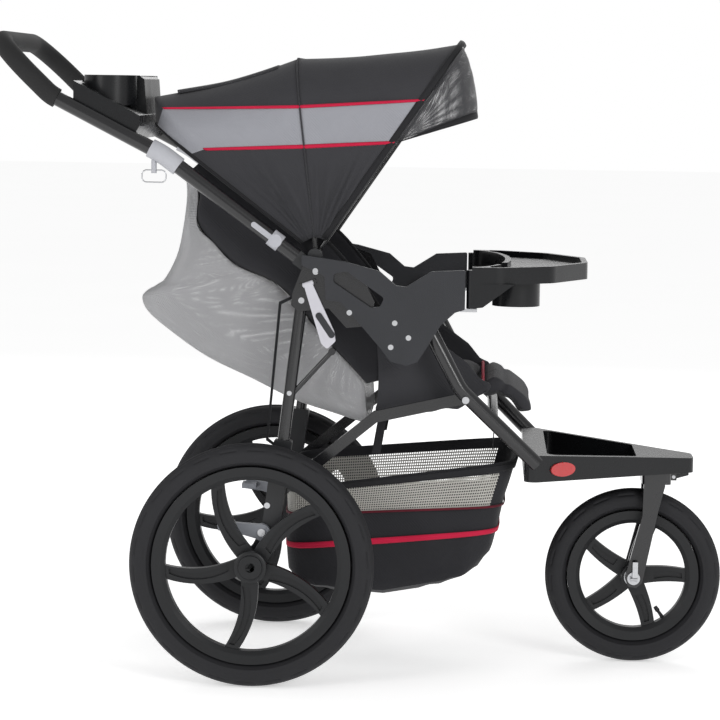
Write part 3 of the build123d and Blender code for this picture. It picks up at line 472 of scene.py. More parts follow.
@dataclass(frozen=True)
class OpenCloth(Cloth):
    """Open net or knit: round threads with holes that let the background through."""

    solid_share: float = 0.5

    def shade(self, tree: bpy.types.NodeTree, shader: bpy.types.Node) -> None:
        """Cuts the holes between the threads, which follow the cloth's own map in metres."""
        self.tint(tree, shader, self.patch_mm)
        where = add_node(tree, "ShaderNodeUVMap").outputs["UV"]
        waves = []
        for direction in ("X", "Y"):
            waves.append(
                add_node(
                    tree,
                    "ShaderNodeTexWave",
                    {
                        "bands_direction": direction,
                        "Scale": BAND_SCALE / self.thread.value,
                        "Distortion": 0.25,
                        "Detail": 0.0,
                        "Detail Scale": 1.0,
                    },
                    {"Vector": where},
                ).outputs["Fac"]
            )
        high = add_node(tree, "ShaderNodeMath", {"operation": "MAXIMUM"}, {0: waves[0], 1: waves[1]})
        level = 1 - (1 - math.sqrt(1 - self.solid_share)) ** 1.2
        cut = add_node(
            tree,
            "ShaderNodeMapRange",
            {"From Min": level - 0.08, "From Max": level + 0.08},
            {"Value": high.outputs["Value"]},
        )
        tree.links.new(cut.outputs["Result"], shader.inputs["Alpha"])
        self.bump(tree, shader, high.outputs["Value"], self.depth_mm)
        shader.inputs["Sheen Weight"].default_value = self.sheen


@dataclass(frozen=True)
class Webbing(Cloth):
    """Flat nylon webbing or binding tape: close ribs across its length that catch a soft light."""

    rib_mm: float = 3.0

    def shade(self, tree: bpy.types.NodeTree, shader: bpy.types.Node) -> None:
        """Adds the ribs, which follow the strap's own map in metres."""
        self.tint(tree, shader, self.patch_mm)
        where = add_node(tree, "ShaderNodeUVMap").outputs["UV"]
        ribs = add_node(
            tree,
            "ShaderNodeTexWave",
            {"bands_direction": "Y", "Scale": BAND_SCALE / self.rib_mm},
            {"Vector": where},
        )
        self.bump(tree, shader, ribs.outputs["Fac"], self.depth_mm)
        shader.inputs["Sheen Weight"].default_value = self.sheen


@dataclass(frozen=True)
class Finishes:
    """Every finish on the stroller."""

    tube: Finish = PowderCoat("gloss_black_powder_coat", "#0c0c0e", "#141417", 0.24)
    plastic: Finish = MouldedPlastic("grained_black_polypropylene", "#252629", "#2e2f33", 0.5, specular=0.35)
    tray_plastic: Finish = MouldedPlastic(
        "satin_black_abs", "#0f1012", "#17181a", 0.26, specular=0.35, grain_depth_mm=0.02
    )
    smooth_plastic: Finish = MouldedPlastic(
        "satin_black_nylon", "#17181a", "#202124", 0.36, grain_depth_mm=0.05
    )
    wheel: Finish = MouldedPlastic(
        "satin_black_wheel_nylon", "#121315", "#1a1b1d", 0.4, grain_depth_mm=0.08, specular=0.35
    )
    grey_plastic: Finish = MouldedPlastic("mid_grey_nylon", "#7d8086", "#8d9097", 0.45)
    pale_plastic: Finish = MouldedPlastic("pale_grey_acetal", "#9fa0a6", "#b0b1b6", 0.42)
    silver: Finish = MouldedPlastic("silver_painted_nylon", "#b4b3ba", "#c4c3c9", 0.36, grain_depth_mm=0.04)
    steel: Finish = Metal("zinc_plated_steel", "#b4b5b8", "#cfd0d2", 0.3)
    foam: Finish = Rubber("closed_cell_foam", "#101011", "#1a1a1b", 0.8, skin_mm=1.8)
    tyre: Finish = Rubber("black_tyre_rubber", "#1b1b1d", "#27272a", 0.7, patch_mm=90, specular=0.3)
    lens: Finish = Lens("red_acrylic_reflector", "#a3060b", "#c41218", 0.16)
    fabric: Finish = Cloth("charcoal_woven_polyester", "#303033", "#39393c", 0.85, specular=0.2, sheen=0.1)
    dark_fabric: Finish = Cloth("black_woven_polyester", "#212124", "#2a2a2d", 0.86, specular=0.2, sheen=0.1)
    reflective: Finish = Cloth("grey_reflective_weave", "#86878d", "#919298", 0.6, specular=0.3, sheen=0.05)
    piping: Finish = Webbing("crimson_binding_tape", "#b00f33", "#c41a42", 0.65, specular=0.2, sheen=0.05)
    dark_piping: Finish = Webbing(
        "dark_red_binding_tape", "#4a0d1a", "#5e1424", 0.7, specular=0.2, sheen=0.05
    )
    binding: Finish = Webbing("black_binding_tape", "#151517", "#1f1f22", 0.7, specular=0.25, sheen=0.05)
    webbing: Finish = Webbing("black_nylon_webbing", "#161618", "#222225", 0.7, specular=0.25, sheen=0.05)
    back_net: Finish = OpenCloth(
        "pale_grey_knit_mesh", "#98989a", "#a3a3a5", 0.8, thread=Thread.KNIT, solid_share=0.9
    )
    basket_net: Finish = OpenCloth(
        "stone_grey_net", "#a3a19b", "#b0aea8", 0.8, thread=Thread.NET, solid_share=0.72
    )
    visor_net: Finish = OpenCloth(
        "charcoal_sun_mesh", "#38383b", "#47474a", 0.8, thread=Thread.KNIT, solid_share=0.62
    )
    paper: Finish = LitPaper("matt_white_studio_paper", "#fbfbfb", "#ffffff", 0.9, patch_mm=900, specular=0.0)


FINISH = Finishes()


# --- meshes -----------------------------------------------------------------------------------------------


def deselect() -> None:
    """Nothing selected, and object mode."""
    if bpy.context.object and bpy.context.object.mode != "OBJECT":
        bpy.ops.object.mode_set(mode="OBJECT")
    bpy.ops.object.select_all(action="DESELECT")


def activate(piece: bpy.types.Object) -> None:
    """Selects one piece alone and makes it the active one."""
    deselect()
    piece.select_set(True)
    bpy.context.view_layer.objects.active = piece


def apply_modifier(piece: bpy.types.Object, name: str) -> None:
    """Applies one modifier."""
    activate(piece)
    bpy.ops.object.modifier_apply(modifier=name)


def round_edges(piece: bpy.types.Object, width_mm: float, segments: int = 2) -> None:
    """Rounds a piece's sharp edges with a bevel.

    Args:
        piece: The piece.
        width_mm: The bevel's width.
        segments: How many faces go round each edge.
    """
    edge = piece.modifiers.new("Edge", "BEVEL")
    edge.width = width_mm / 1000
    edge.segments = segments
    edge.limit_method = "ANGLE"
    apply_modifier(piece, "Edge")


def smooth_by_angle(piece: bpy.types.Object, degrees: float = 40.0) -> None:
    """Smooth shading with crisp edges past an angle."""
    activate(piece)
    bpy.ops.object.shade_smooth_by_angle(angle=math.radians(degrees))


def thicken(piece: bpy.types.Object, thickness_mm: float, offset: float = 0.0) -> None:
    """Gives a sheet its thickness, with a rim round its edge."""
    wall = piece.modifiers.new("Wall", "SOLIDIFY")
    wall.thickness = thickness_mm / 1000
    wall.offset = offset
    wall.use_rim = True
    apply_modifier(piece, "Wall")


def grid_piece(
    name: str,
    rows: Grid,
    finishes: Sequence[Finish],
    band: Callable[[int, int], int] | None = None,
    ring: bool = False,
) -> bpy.types.Object:
    """Makes a sheet from rows of points, with a map in metres.

    Args:
        name: The piece's name.
        rows: Points, row by row, all rows equally long.
        finishes: The materials it uses.
        band: Gives the material's number for the face at a row and column.
        ring: True if each row closes on itself.

    Returns:
        The new object, at the origin, smoothly shaded.
    """
    mesh = bpy.data.meshes.new(name)
    work = bmesh.new()
    verts = [[work.verts.new(p) for p in row] for row in rows]
    uv = work.loops.layers.uv.new("UVMap")
    across = [0.0]
    middle = rows[len(rows) // 2]
    for a, b in zip(middle, middle[1:] + middle[:1]):
        across.append(across[-1] + (b - a).length)
    down = [0.0]
    centre = len(middle) // 2
    for a, b in zip(rows, rows[1:]):
        down.append(down[-1] + (b[centre] - a[centre]).length)
    columns = len(middle) if ring else len(middle) - 1
    for i in range(len(rows) - 1):
        for j in range(columns):
            k = (j + 1) % len(middle)
            face = work.faces.new((verts[i][j], verts[i][k], verts[i + 1][k], verts[i + 1][j]))
            face.smooth = True
            face.material_index = band(i, j) if band else 0
            corners = ((across[j], down[i]), (across[j + 1], down[i]), (across[j + 1], down[i + 1]))
            for loop, place_on_map in zip(face.loops, (*corners, (across[j], down[i + 1]))):
                loop[uv].uv = place_on_map
    work.to_mesh(mesh)
    work.free()
    for finish in finishes:
        mesh.materials.append(finish.make())
    piece = bpy.data.objects.new(name, mesh)
    bpy.context.scene.collection.objects.link(piece)
    return piece


def cut_size(rows: Grid) -> tuple[tuple[float, float], float]:
    """Measures the flat cut that a sheet's rows were made from.

    Args:
        rows: The sheet's points.

    Returns:
        Its width and length, and its flat area in square metres.
    """
    width = max(sum((b - a).length for a, b in zip(row, row[1:])) for row in rows)
    columns = list(zip(*rows))
    length = max(sum((b - a).length for a, b in zip(c, c[1:])) for c in columns)
    area = 0.0
    for upper, lower in zip(rows, rows[1:]):
        for a, b, c, d in zip(upper, upper[1:], lower[1:], lower):
            area += ((b - a).cross(c - a).length + (c - a).cross(d - a).length) / 2
    return (width, length), min(max(area, 0.31 * width * length), width * length)


def ribbon(
    name: str, points: Sequence[Vector], wide: Vector, width_mm: float, thick_mm: float, finish: Finish
) -> bpy.types.Object:
    """Makes a flat strap with rounded edges.

    Args:
        name: The piece's name.
        points: Its middle line.
        wide: The direction across it.
        width_mm: Its width.
        thick_mm: Its thickness.
        finish: Its material.

    Returns:
        The strap.
    """
    half = width_mm / 2000
    across = wide.normalized()
    rows = [[p + across * s * half for s in (-1.0, -0.6, 0.0, 0.6, 1.0)] for p in points]
    strap = grid_piece(name, rows, (finish,))
    thicken(strap, thick_mm)
    round_edges(strap, thick_mm / 3.5)
    return strap


def pipe(name: str, points: Sequence[Vector], radius_mm: float, finish: Finish) -> bpy.types.Object:
    """Makes a round bar, bead or piping along a line.

    Args:
        name: The piece's name.
        points: Its middle line.
        radius_mm: Its radius.
        finish: Its material.

    Returns:
        The bar as a mesh with closed ends.
    """
    line = bpy.data.curves.new(name, "CURVE")
    line.dimensions = "3D"
    line.bevel_depth = radius_mm / 1000
    line.bevel_resolution = 3
    line.use_fill_caps = True
    spline = line.splines.new("POLY")
    spline.points.add(len(points) - 1)
    for target, point in zip(spline.points, points):
        target.co = (*point, 1.0)
    bar = bpy.data.objects.new(name, line)
    bpy.context.scene.collection.objects.link(bar)
    activate(bar)
    bpy.ops.object.convert(target="MESH")
    bar = bpy.context.object
    bar.data.materials.clear()
    bar.data.materials.append(finish.make())
    if "UVMap" not in bar.data.uv_layers:
        bar.data.uv_layers.new(name="UVMap")
    bpy.ops.object.shade_smooth()
    return bar


def push_along_normals(piece: bpy.types.Object, amounts: Sequence[float]) -> None:
    """Moves each vertex along its normal.

    Args:
        piece: The piece to shape.
        amounts: How far each vertex goes, in millimetres.
    """
    mesh = piece.data
    normals = [v.normal.copy() for v in mesh.vertices]
    for vertex, normal, amount in zip(mesh.vertices, normals, amounts):
        vertex.co += normal * (amount / 1000)
    mesh.update()


def flip_outwards(piece: bpy.types.Object, centre: Vector) -> None:
    """Turns a sheet's faces away from a point, if most of them face it."""
    facing = sum((f.center - centre).dot(f.normal) * f.area for f in piece.data.polygons)
    if facing < 0:
        piece.data.flip_normals()


# --- canopy -----------------------------------------------------------------------------------------------


@dataclass(frozen=True)
class Station:
    """One rib line of the canopy: its angle, its reach, and where its two piping lines cross its side."""

    angle: float
    reach: float
    low: float
    high: float


@dataclass
class Canopy:
    """The folding sun hood: two covers, their bands and piping, its window flap and its mesh visor."""

    pivot: tuple[float, float] = (96.0, 714.0)
    half: float = 214.5
    start: float = 30.0
    corner: float = 95.0
    hem: Station = Station(142.8, 350.0, 268.0, 342.0)
    rear: Station = Station(137.5, 380.0, 254.0, 352.0)
    middle: Station = Station(97.0, 326.0, 180.0, 246.0)
    front: Station = Station(55.8, 427.0, 227.0, 312.0)
    side_rows: int = 16
    band_rows: int = 6
    top_rows: int = 14
    visor_reach: float = 224.0
    visor_half: float = 207.0
    visor_corner: float = 60.0
    visor_foot: float = 6.0
    visor_stations: tuple[tuple[float, float], ...] = ((55.0, 196.0), (38.4, 167.0), (17.5, 143.0))
    blend_mm: float = 50.0

    def marks(self, station: Station) -> tuple[float, float, float]:
        """Distances along a station's section.

        Args:
            station: The rib line.

        Returns:
            Distance from the foot to the low piping, the high piping and the ridge.
        """
        flat = station.reach - self.corner - self.start
        low = station.low - self.start
        past = (station.high - (station.reach - self.corner)) / self.corner
        high = station.high - self.start if past <= 0 else flat + self.corner * math.asin(min(past, 0.98))
        ridge = flat + self.corner * math.pi / 2 + self.half - self.corner
        return low, high, ridge

    def point(self, station: Station, distance: float) -> Vector:
        """A point of a station's section on the right-hand side, in drawn millimetres.

        Args:
            station: The rib line.
            distance: How far along the section from its foot.

        Returns:
            The point, with Y from -half at the side to 0 on the ridge.
        """
        flat = station.reach - self.corner - self.start
        arc = self.corner * math.pi / 2
        if distance <= flat:
            out, y = self.start + distance, -self.half
        elif distance <= flat + arc:
            turn = (distance - flat) / self.corner
            out = station.reach - self.corner + self.corner * math.sin(turn)
            y = -self.half + self.corner * (1 - math.cos(turn))
        else:
            out, y = station.reach, -self.half + self.corner + distance - flat - arc
        angle = math.radians(station.angle)
        return Vector((self.pivot[0] + out * math.cos(angle), y, self.pivot[1] + out * math.sin(angle)))

    def distances(self, station: Station) -> list[float]:
        """Where the rows cross a station, from its foot to the ridge."""
        low, high, ridge = self.marks(station)
        rows = steps(0, low, self.side_rows)
        rows += steps(low, high, self.band_rows)[1:]
        rows += steps(high, ridge, self.top_rows)[1:]
        return rows

    def section(self, station: Station) -> list[Vector]:
        """A whole section, from the right foot over the ridge to the left foot."""
        near = [self.point(station, d) for d in self.distances(station)]
        far = [Vector((p.x, -p.y, p.z)) for p in near[-2::-1]]
        return near + far

    def zone(self, row: int) -> tuple[int, float]:
        """Which zone a row of points is in.

        Args:
            row: The row's number, from the right foot.

        Returns:
            0 for the side, 1 for the band and 2 for the top, and how far through the zone it is.
        """
        whole = self.side_rows + self.band_rows + self.top_rows
        row = min(row, 2 * whole - row)
        if row <= self.side_rows:
            return 0, row / self.side_rows
        if row <= self.side_rows + self.band_rows:
            return 1, (row - self.side_rows) / self.band_rows
        return 2, (row - self.side_rows - self.band_rows) / self.top_rows

    def lift(self, row: int, t: float, seed: float, span: float) -> float:
        """How far the cloth stands off the straight line between two ribs.

        Args:
            row: The row's number.
            t: Share of the way between the ribs.
            seed: Shifts the pattern of folds.
            span: How deep the top sags, in millimetres.

        Returns:
            Millimetres outwards.
        """
        zone, share = self.zone(row)
        between = math.sin(math.pi * t)
        rough = noise.noise(Vector((t * 3.1 + seed, row * 0.09, seed)))
        if zone == 0:
            rays = math.sin(2 * math.pi * (5.5 * t + 0.5 * share + 0.6 * rough))
            fine = math.sin(2 * math.pi * (13 * t - 0.8 * share + seed))
            rise = math.sin(math.pi * min(share * 1.04, 1.0)) ** 0.7
            return between**0.5 * rise * (3.0 * rays + 0.9 * fine * share) - 5.0 * between * rise * share
        if zone == 1:
            slant = math.sin(2 * math.pi * (7 * t + 1.3 * share + seed + rough))
            return between * math.sin(math.pi * share) * (0.9 * slant + 2.2 * rough) - 2.0 * between
        fade = math.sin(math.pi * min(share * 0.5, 0.5))
        return between * (2.0 * rough - span * fade) - 2.0 * between * (1 - fade)

    def cover(
        self, name: str, ribs: Sequence[tuple[Station, int]], seed: float, span: float
    ) -> bpy.types.Object:
        """Makes one cover over a run of ribs.

        Args:
            name: The piece's name.
            ribs: Each rib, with the intervals from the rib before it.
            seed: Shifts its folds.
            span: How deep its top sags.

        Returns:
            The cover.
        """
        rows: Grid = []
        lifts: list[float] = []
        for index, (station, count) in enumerate(ribs):
            here = self.section(station)
            if index == 0:
                rows.append([place(*p) for p in here])
                lifts += [0.0] * len(here)
                continue
            before = self.section(ribs[index - 1][0])
            for t in steps(0, 1, count)[1:]:
                rows.append([place(*a.lerp(b, t)) for a, b in zip(before, here)])
                deep = span if count > 5 else 0.0
                lifts += [self.lift(r, t, seed, deep) if count > 5 else 0.0 for r in range(len(here))]
        size, area = cut_size(rows)
        finishes = (FINISH.fabric, FINISH.reflective)
        edge = (self.side_rows, self.side_rows + self.band_rows)
        whole = 2 * (edge[1] + self.top_rows)

        def band(_: int, column: int) -> int:
            """1 between the two piping lines, and 0 elsewhere."""
            inner = min(column, whole - 1 - column)
            return 1 if edge[0] <= inner < edge[1] else 0

        piece = grid_piece(name, rows, finishes, band)
        flip_outwards(piece, place(self.pivot[0], 0, self.pivot[1]))
        push_along_normals(piece, lifts)
        thicken(piece, 1.6, -1.0)
        return piece

    def strip(
        self,
        name: str,
        ribs: Sequence[tuple[Station, int]],
        mark: int,
        side: Side,
        width_mm: float,
        finish: Finish,
    ) -> bpy.types.Object:
        """Makes piping along one of the two marks.

        Args:
            name: The piece's name.
            ribs: Each rib, with the intervals from the rib before it.
            mark: 0 for the low line and 1 for the high one.
            side: Which side of the canopy.
            width_mm: Its width.
            finish: Its material.

        Returns:
            The piping.
        """
        rows: Grid = []
        for index, (station, count) in enumerate(ribs):
            shares = [1.0] if index == 0 else steps(0, 1, count)[1:]
            before = ribs[max(index - 1, 0)][0]
            for t in shares:
                row = []
                for shift in (-0.5, -0.25, 0.0, 0.25, 0.5):
                    a = self.point(before, self.marks(before)[mark] + shift * width_mm)
                    b = self.point(station, self.marks(station)[mark] + shift * width_mm)
                    p = a.lerp(b, t)
                    row.append(place(p.x, -p.y * side.value, p.z))
                rows.append(row)
        piece = grid_piece(name, rows, (finish,))
        flip_outwards(piece, place(self.pivot[0], 0, self.pivot[1]))
        push_along_normals(piece, [(0.2, 1.5, 2.2, 1.5, 0.2)[i % 5] for i in range(len(piece.data.vertices))])
        thicken(piece, 1.4, -1.0)
        return piece

    def rib_band(
        self, name: str, station: Station, back: float, front: float, finish: Finish
    ) -> bpy.types.Object:
        """Makes a binding along a whole rib line.

        Args:
            name: The piece's name.
            station: The rib.
            back: How far it goes towards the rear, in millimetres.
            front: How far it goes towards the front.
            finish: Its material.

        Returns:
            The binding.
        """
        turn = math.radians(station.angle - 90)
        ahead = Vector((math.cos(turn), 0, math.sin(turn)))
        line = self.section(station)
        rows = [[place(*(p + ahead * s)) for p in line] for s in steps(-back, front, 4)]
        piece = grid_piece(name, rows, (finish,))
        flip_outwards(piece, place(self.pivot[0], 0, self.pivot[1]))
        profile = (0.6, 1.8, 2.2, 1.8, 0.6)
        push_along_normals(piece, [profile[i // len(line)] for i in range(len(piece.data.vertices))])
        thicken(piece, 2.4, -1.0)
        return piece

    def hinge_line(self, older: Station, newer: Station) -> tuple[Vector, Vector]:
        """Two points blend_mm either side of the pivot, across the middle line between two ribs."""
        turn = math.radians((older.angle + newer.angle) / 2)
        ahead = Vector((math.sin(turn), 0, -math.cos(turn))) * self.blend_mm
        centre = Vector((self.pivot[0], 0, self.pivot[1]))
        return place(*(centre - ahead)), place(*(centre + ahead))

    def flap(self) -> bpy.types.Object:
        """Makes the window flap that lies on the rear cover, a little open at its rear edge."""
        rows: Grid = []
        lifts = []
        ridge_before = self.marks(self.rear)[2]
        ridge_after = self.marks(self.middle)[2]
        for t in steps(0.16, 0.86, 12):
            row = []
            for y in steps(-150, 150, 20):
                a = self.point(self.rear, ridge_before - abs(y))
                b = self.point(self.middle, ridge_after - abs(y))
                p = a.lerp(b, t)
                row.append(place(p.x, math.copysign(p.y, y), p.z))
                lifts.append(2.5 + 3.5 * (1 - smooth((t - 0.16) / 0.4)) - 8.0 * math.sin(math.pi * t) ** 0.8)
            rows.append(row)
        size, area = cut_size(rows)
        piece = grid_piece("canopy_window_flap", rows, (FINISH.fabric,))
        flip_outwards(piece, place(self.pivot[0], 0, self.pivot[1]))
        push_along_normals(piece, lifts)
        thicken(piece, 3.0, -1.0)
        return piece

    def visor_section(self, angle: float, reach: float) -> list[Vector]:
        """The visor's section on one of its rib lines, in drawn millimetres.

        Args:
            angle: How far the rib leans up from level, in degrees.
            reach: How far it stands out from the visor's hinge.

        Returns:
            The section from the right foot to the left foot.
        """
        turn = math.radians(self.front.angle)
        hinge_x = self.pivot[0] + self.visor_reach * math.cos(turn)
        hinge_z = self.pivot[1] + self.visor_reach * math.sin(turn)
        flat = reach - self.visor_corner - self.visor_foot
        near = [(self.visor_foot + d, -self.visor_half) for d in steps(0, flat, 10)]
        for bend in steps(0, math.pi / 2, 6)[1:]:
            out = reach - self.visor_corner * (1 - math.sin(bend))
            near.append((out, -self.visor_half + self.visor_corner * (1 - math.cos(bend))))
        near += [(reach, y) for y in steps(-self.visor_half + self.visor_corner, 0, 10)[1:]]
        whole = near + [(out, -y) for out, y in near[-2::-1]]
        lean = math.radians(angle)
        return [Vector((hinge_x + o * math.cos(lean), y, hinge_z + o * math.sin(lean))) for o, y in whole]

    def visor(self) -> list[bpy.types.Object]:
        """Makes the mesh visor and its hem."""
        ribs = curve_through(self.visor_stations, 7)
        rows = [[place(*p) for p in self.visor_section(a, r)] for a, r in ribs]
        size, area = cut_size(rows)
        net = grid_piece("visor_net", rows, (FINISH.visor_net,))
        flip_outwards(net, place(250, 0, 800))
        count = len(rows[0])
        lifts = []
        for i in range(len(net.data.vertices)):
            t, j = (i // count) / (len(rows) - 1), i % count
            lifts.append(2.2 * math.sin(math.pi * t) * noise.noise(Vector((t * 4, j * 0.25, 7.0))) - 0.5)
        push_along_normals(net, lifts)
        thicken(net, 0.9, -1.0)
        angle, reach = self.visor_stations[-1]
        edge = [
            [place(*p) for p in self.visor_section(angle + a, reach + r)]
            for a, r in ((5.0, 2.5), (2.5, 1.2), (0.0, 0.0))
        ]
        hem = grid_piece("visor_hem", edge, (FINISH.binding,))
        flip_outwards(hem, place(250, 0, 800))
        push_along_normals(hem, [0.8] * len(hem.data.vertices))
        thicken(hem, 2.4, 0.0)
        for piece in (net, hem):
            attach(piece, "visor")
        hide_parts("canopy_visor")
        return [net, hem]

    def build(self) -> None:
        """Makes the canopy's pieces: the two covers, their piping, the window flap, the rib bindings and the
        visor.
        """
        rear_ribs = ((self.hem, 0), (self.rear, 3), (self.middle, 26))
        front_ribs = ((self.middle, 0), (self.front, 28))
        rear = self.cover("canopy_rear_cloth", rear_ribs, 0.37, 9.0)
        front = self.cover("canopy_front_cloth", front_ribs, 1.91, 7.0)
        behind = self.hinge_line(self.rear, self.middle)
        ahead = self.hinge_line(self.middle, self.front)
        for side in Side:
            for mark, label in enumerate(("low", "high")):
                ending = f"{label}_{side.name.lower()}"
                width = 7.0 if mark == 0 else 6.0
                tape = self.strip(
                    f"canopy_rear_piping_{ending}", rear_ribs[1:], mark, side, width, FINISH.piping
                )
                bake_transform(tape)
                tape = self.strip(
                    f"canopy_front_piping_{ending}", front_ribs, mark, side, width, FINISH.piping
                )
                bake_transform(tape)
        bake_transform(self.flap())
        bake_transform(rear)
        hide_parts("canopy_rear_cover")
        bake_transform(front)
        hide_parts("canopy_front_cover")
        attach(self.rib_band("canopy_front_binding", self.front, 9.0, 1.5, FINISH.binding), "canopy_front")
        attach(self.rib_band("canopy_middle_seam", self.middle, 1.3, 1.3, FINISH.fabric), "canopy_middle")
        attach(self.rib_band("canopy_rear_hem", self.hem, 1.0, 5.0, FINISH.binding), "handle")
        self.visor()


# --- seat -------------------------------------------------------------------------------------------------


@dataclass
class Seat:
    """The reclining back, its wings, pad and hanging mesh, and the seat's sling, cushion and leg rest."""

    wing_out: float = 181.0
    sling_out: float = 186.0
    back_half: float = 176.0
    board: tuple[tuple[float, float], ...] = (
        (180, 497), (108, 575), (33, 657), (-45, 694), (-105, 757), (-104, 807), (-118, 848),
    )
    wing: tuple[tuple[float, float], ...] = (
        (214, 505), (221, 590), (140, 706), (75, 765), (-12, 832), (-52, 866), (-84, 880),
    )
    net_outline: tuple[tuple[float, float], ...] = (
        (-121, 849), (-126, 840), (-124, 806), (-130, 754), (-143, 702), (-166, 660), (-188, 647),
        (-200, 634), (-190, 610), (-152, 578), (-89, 535), (-14, 500), (59, 465), (124, 444), (184, 426),
    )
    net_inner: tuple[tuple[float, float], ...] = (
        (-119, 847), (-109, 825), (-105, 806), (-106, 757), (-80, 730), (-46, 694), (-20, 682),
        (0, 672), (16, 664), (32, 656), (60, 626), (90, 594), (118, 562), (150, 528), (178, 496),
    )
    sling_top: tuple[tuple[float, float], ...] = (
        (196, 560), (206, 598), (222, 612), (262, 600), (290, 579), (351, 535), (372, 509), (386, 503),
    )
    cushion: tuple[tuple[float, float], ...] = (
        (226, 462), (366, 477), (377, 490), (373, 504), (345, 508), (240, 500),
    )
    leg_rest: tuple[tuple[float, float], ...] = (
        (368, 474), (400, 476), (426, 469), (440, 447), (462, 441), (466, 452), (451, 473),
        (424, 493), (396, 508),
        (376, 503),
    )
    sling_base: tuple[tuple[float, float], ...] = ((198, 446), (300, 455), (336, 461), (360, 474), (386, 495))

    def shell(self) -> bpy.types.Object:
        """Makes the back's cloth shell: the board's rear and the two wings in one sheet."""
        rear = curve_through(self.board, 6)
        lip = curve_through(self.wing, 6)
        rows: Grid = []
        for (bx, bz), (wx, wz) in zip(rear, lip):
            side = []
            for t in steps(0, 0.86, 9):
                puff = 3.5 * math.sin(math.pi * t)
                side.append(Vector((lerp(wx, bx, t), -self.wing_out + 4 - puff, lerp(wz, bz, t))))
            for turn in steps(0, math.pi / 2, 4)[1:]:
                share = 0.86 + 0.14 * math.sin(turn)
                y = -self.wing_out + 4 + 26 * (1 - math.cos(turn))
                side.append(Vector((lerp(wx, bx, share), y, lerp(wz, bz, share))))
            for y in steps(-self.wing_out + 30, 0, 8)[1:]:
                side.append(Vector((bx, y, bz)))
            rows.append([place(*p) for p in side] + [place(p.x, -p.y, p.z) for p in side[-2::-1]])
        size, area = cut_size(rows)
        piece = grid_piece("backrest_shell", rows, (FINISH.dark_fabric,))
        count = len(rows[0])
        lifts = []
        for i in range(len(piece.data.vertices)):
            t, j = i // count, i % count
            fold = noise.noise(Vector((t * 0.22, min(j, count - 1 - j) * 0.16, 3.3)))
            lifts.append(3.2 * fold if min(j, count - 1 - j) > 0 else 0.0)
        push_along_normals(piece, lifts)
        thicken(piece, 3.2)
        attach(piece, "backrest")
        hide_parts("backrest_board")
        for side in Side:
            line = [place(x, side.value * (self.wing_out - 3), z) for x, z in lip]
            bead = pipe(f"wing_binding_{side.name.lower()}", line, 3.2, FINISH.binding)
            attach(bead, "backrest")
        return piece

    def net(self) -> bpy.types.Object:
        """Makes the pale mesh that hangs behind the back and is gathered under the seat."""
        outer = curve_through(self.net_outline, 4)
        inner = curve_through(self.net_inner, 4)
        half = self.back_half - 2
        rows: Grid = []
        for k, ((ox, oz), (ix, iz)) in enumerate(zip(outer, inner)):
            reach = math.hypot(ox - ix, oz - iz)
            corner = min(24.0, 0.45 * reach)
            side = []
            straight = max(1 - corner / max(reach, 1), 0)
            for t in steps(0, straight, 10):
                fold = 5.5 * math.sin(math.pi * t) * noise.noise(Vector((k * 0.11, t * 0.7, 5.0)))
                side.append(Vector((lerp(ix, ox, t), -half + 1.5 - fold, lerp(iz, oz, t))))
            for turn in steps(0, math.pi / 2, 4)[1:]:
                t = straight + (1 - straight) * math.sin(turn)
                side.append(
                    Vector((lerp(ix, ox, t), -half + 1.5 + corner * (1 - math.cos(turn)), lerp(iz, oz, t)))
                )
            for y in steps(-half + 1.5 + corner, 0, 9)[1:]:
                slack = 4.0 * noise.noise(Vector((k * 0.25, y * 0.02, 2.0)))
                side.append(Vector((ox + slack * 0.6, y, oz + slack)))
            rows.append([place(*p) for p in side] + [place(p.x, -p.y, p.z) for p in side[-2::-1]])
        size, area = cut_size(rows)
        piece = grid_piece("backrest_net", rows, (FINISH.back_net,))
        thicken(piece, 0.9)
        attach(piece, "backrest")
        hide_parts("back_mesh")
        return piece

    def sling(self) -> bpy.types.Object:
        """Makes the seat's hammock: its base and its two sides in one sheet."""
        rows: Grid = []
        half = self.sling_out - 2
        for k, x in enumerate(steps(198, 386, 26)):
            base = along(self.sling_base, x)
            top = along(self.sling_top, x)
            base += 2.5 * math.sin(k * 0.9) * smooth((x - 220) / 120) - 3
            side = []
            for t in steps(0, 0.84, 9):
                fold = 2.4 * math.sin(math.pi * t) * noise.noise(Vector((k * 0.19, t * 2.6, 9.0)))
                side.append(Vector((x + 4 * math.sin(t * 3.1), -half - fold + 1, lerp(top, base, t))))
            radius = min(28.0, 0.3 * (top - base))
            foot = lerp(top, base, 0.84) - base
            for turn in steps(0, math.pi / 2, 5)[1:]:
                y = -half + 1 + radius * (1 - math.cos(turn))
                side.append(Vector((x, y, base + foot * (1 - math.sin(turn)))))
            for y in steps(-half + 1 + radius, 0, 8)[1:]:
                side.append(Vector((x, y, base)))
            rows.append([place(*p) for p in side] + [place(p.x, -p.y, p.z) for p in side[-2::-1]])
        size, area = cut_size(rows)
        piece = grid_piece("seat_hammock", rows, (FINISH.fabric,))
        thicken(piece, 2.6)
        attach(piece, "front_frame")
        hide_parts("seat_sling")
        return piece

    def node_mesh(self, node: str) -> bpy.types.Mesh:
        """Copies a CAD node's mesh."""
        return bpy.data.objects[node].data.copy()

    def block(self, outline: Sequence[tuple[float, float]], half: float) -> bpy.types.Mesh:
        """Makes a block from a side outline.

        Args:
            outline: Its corners in drawn X and Z.
            half: Half its width.

        Returns:
            The block's mesh.
        """
        count = len(outline)
        points = [place(x, y, z) for y in (-half, half) for x, z in outline]
        faces = [tuple(range(count)), tuple(range(2 * count - 1, count - 1, -1))]
        faces += [(k, k + count, (k + 1) % count + count, (k + 1) % count) for k in range(count)]
        mesh = bpy.data.meshes.new("block")
        mesh.from_pydata(points, [], faces)
        return mesh

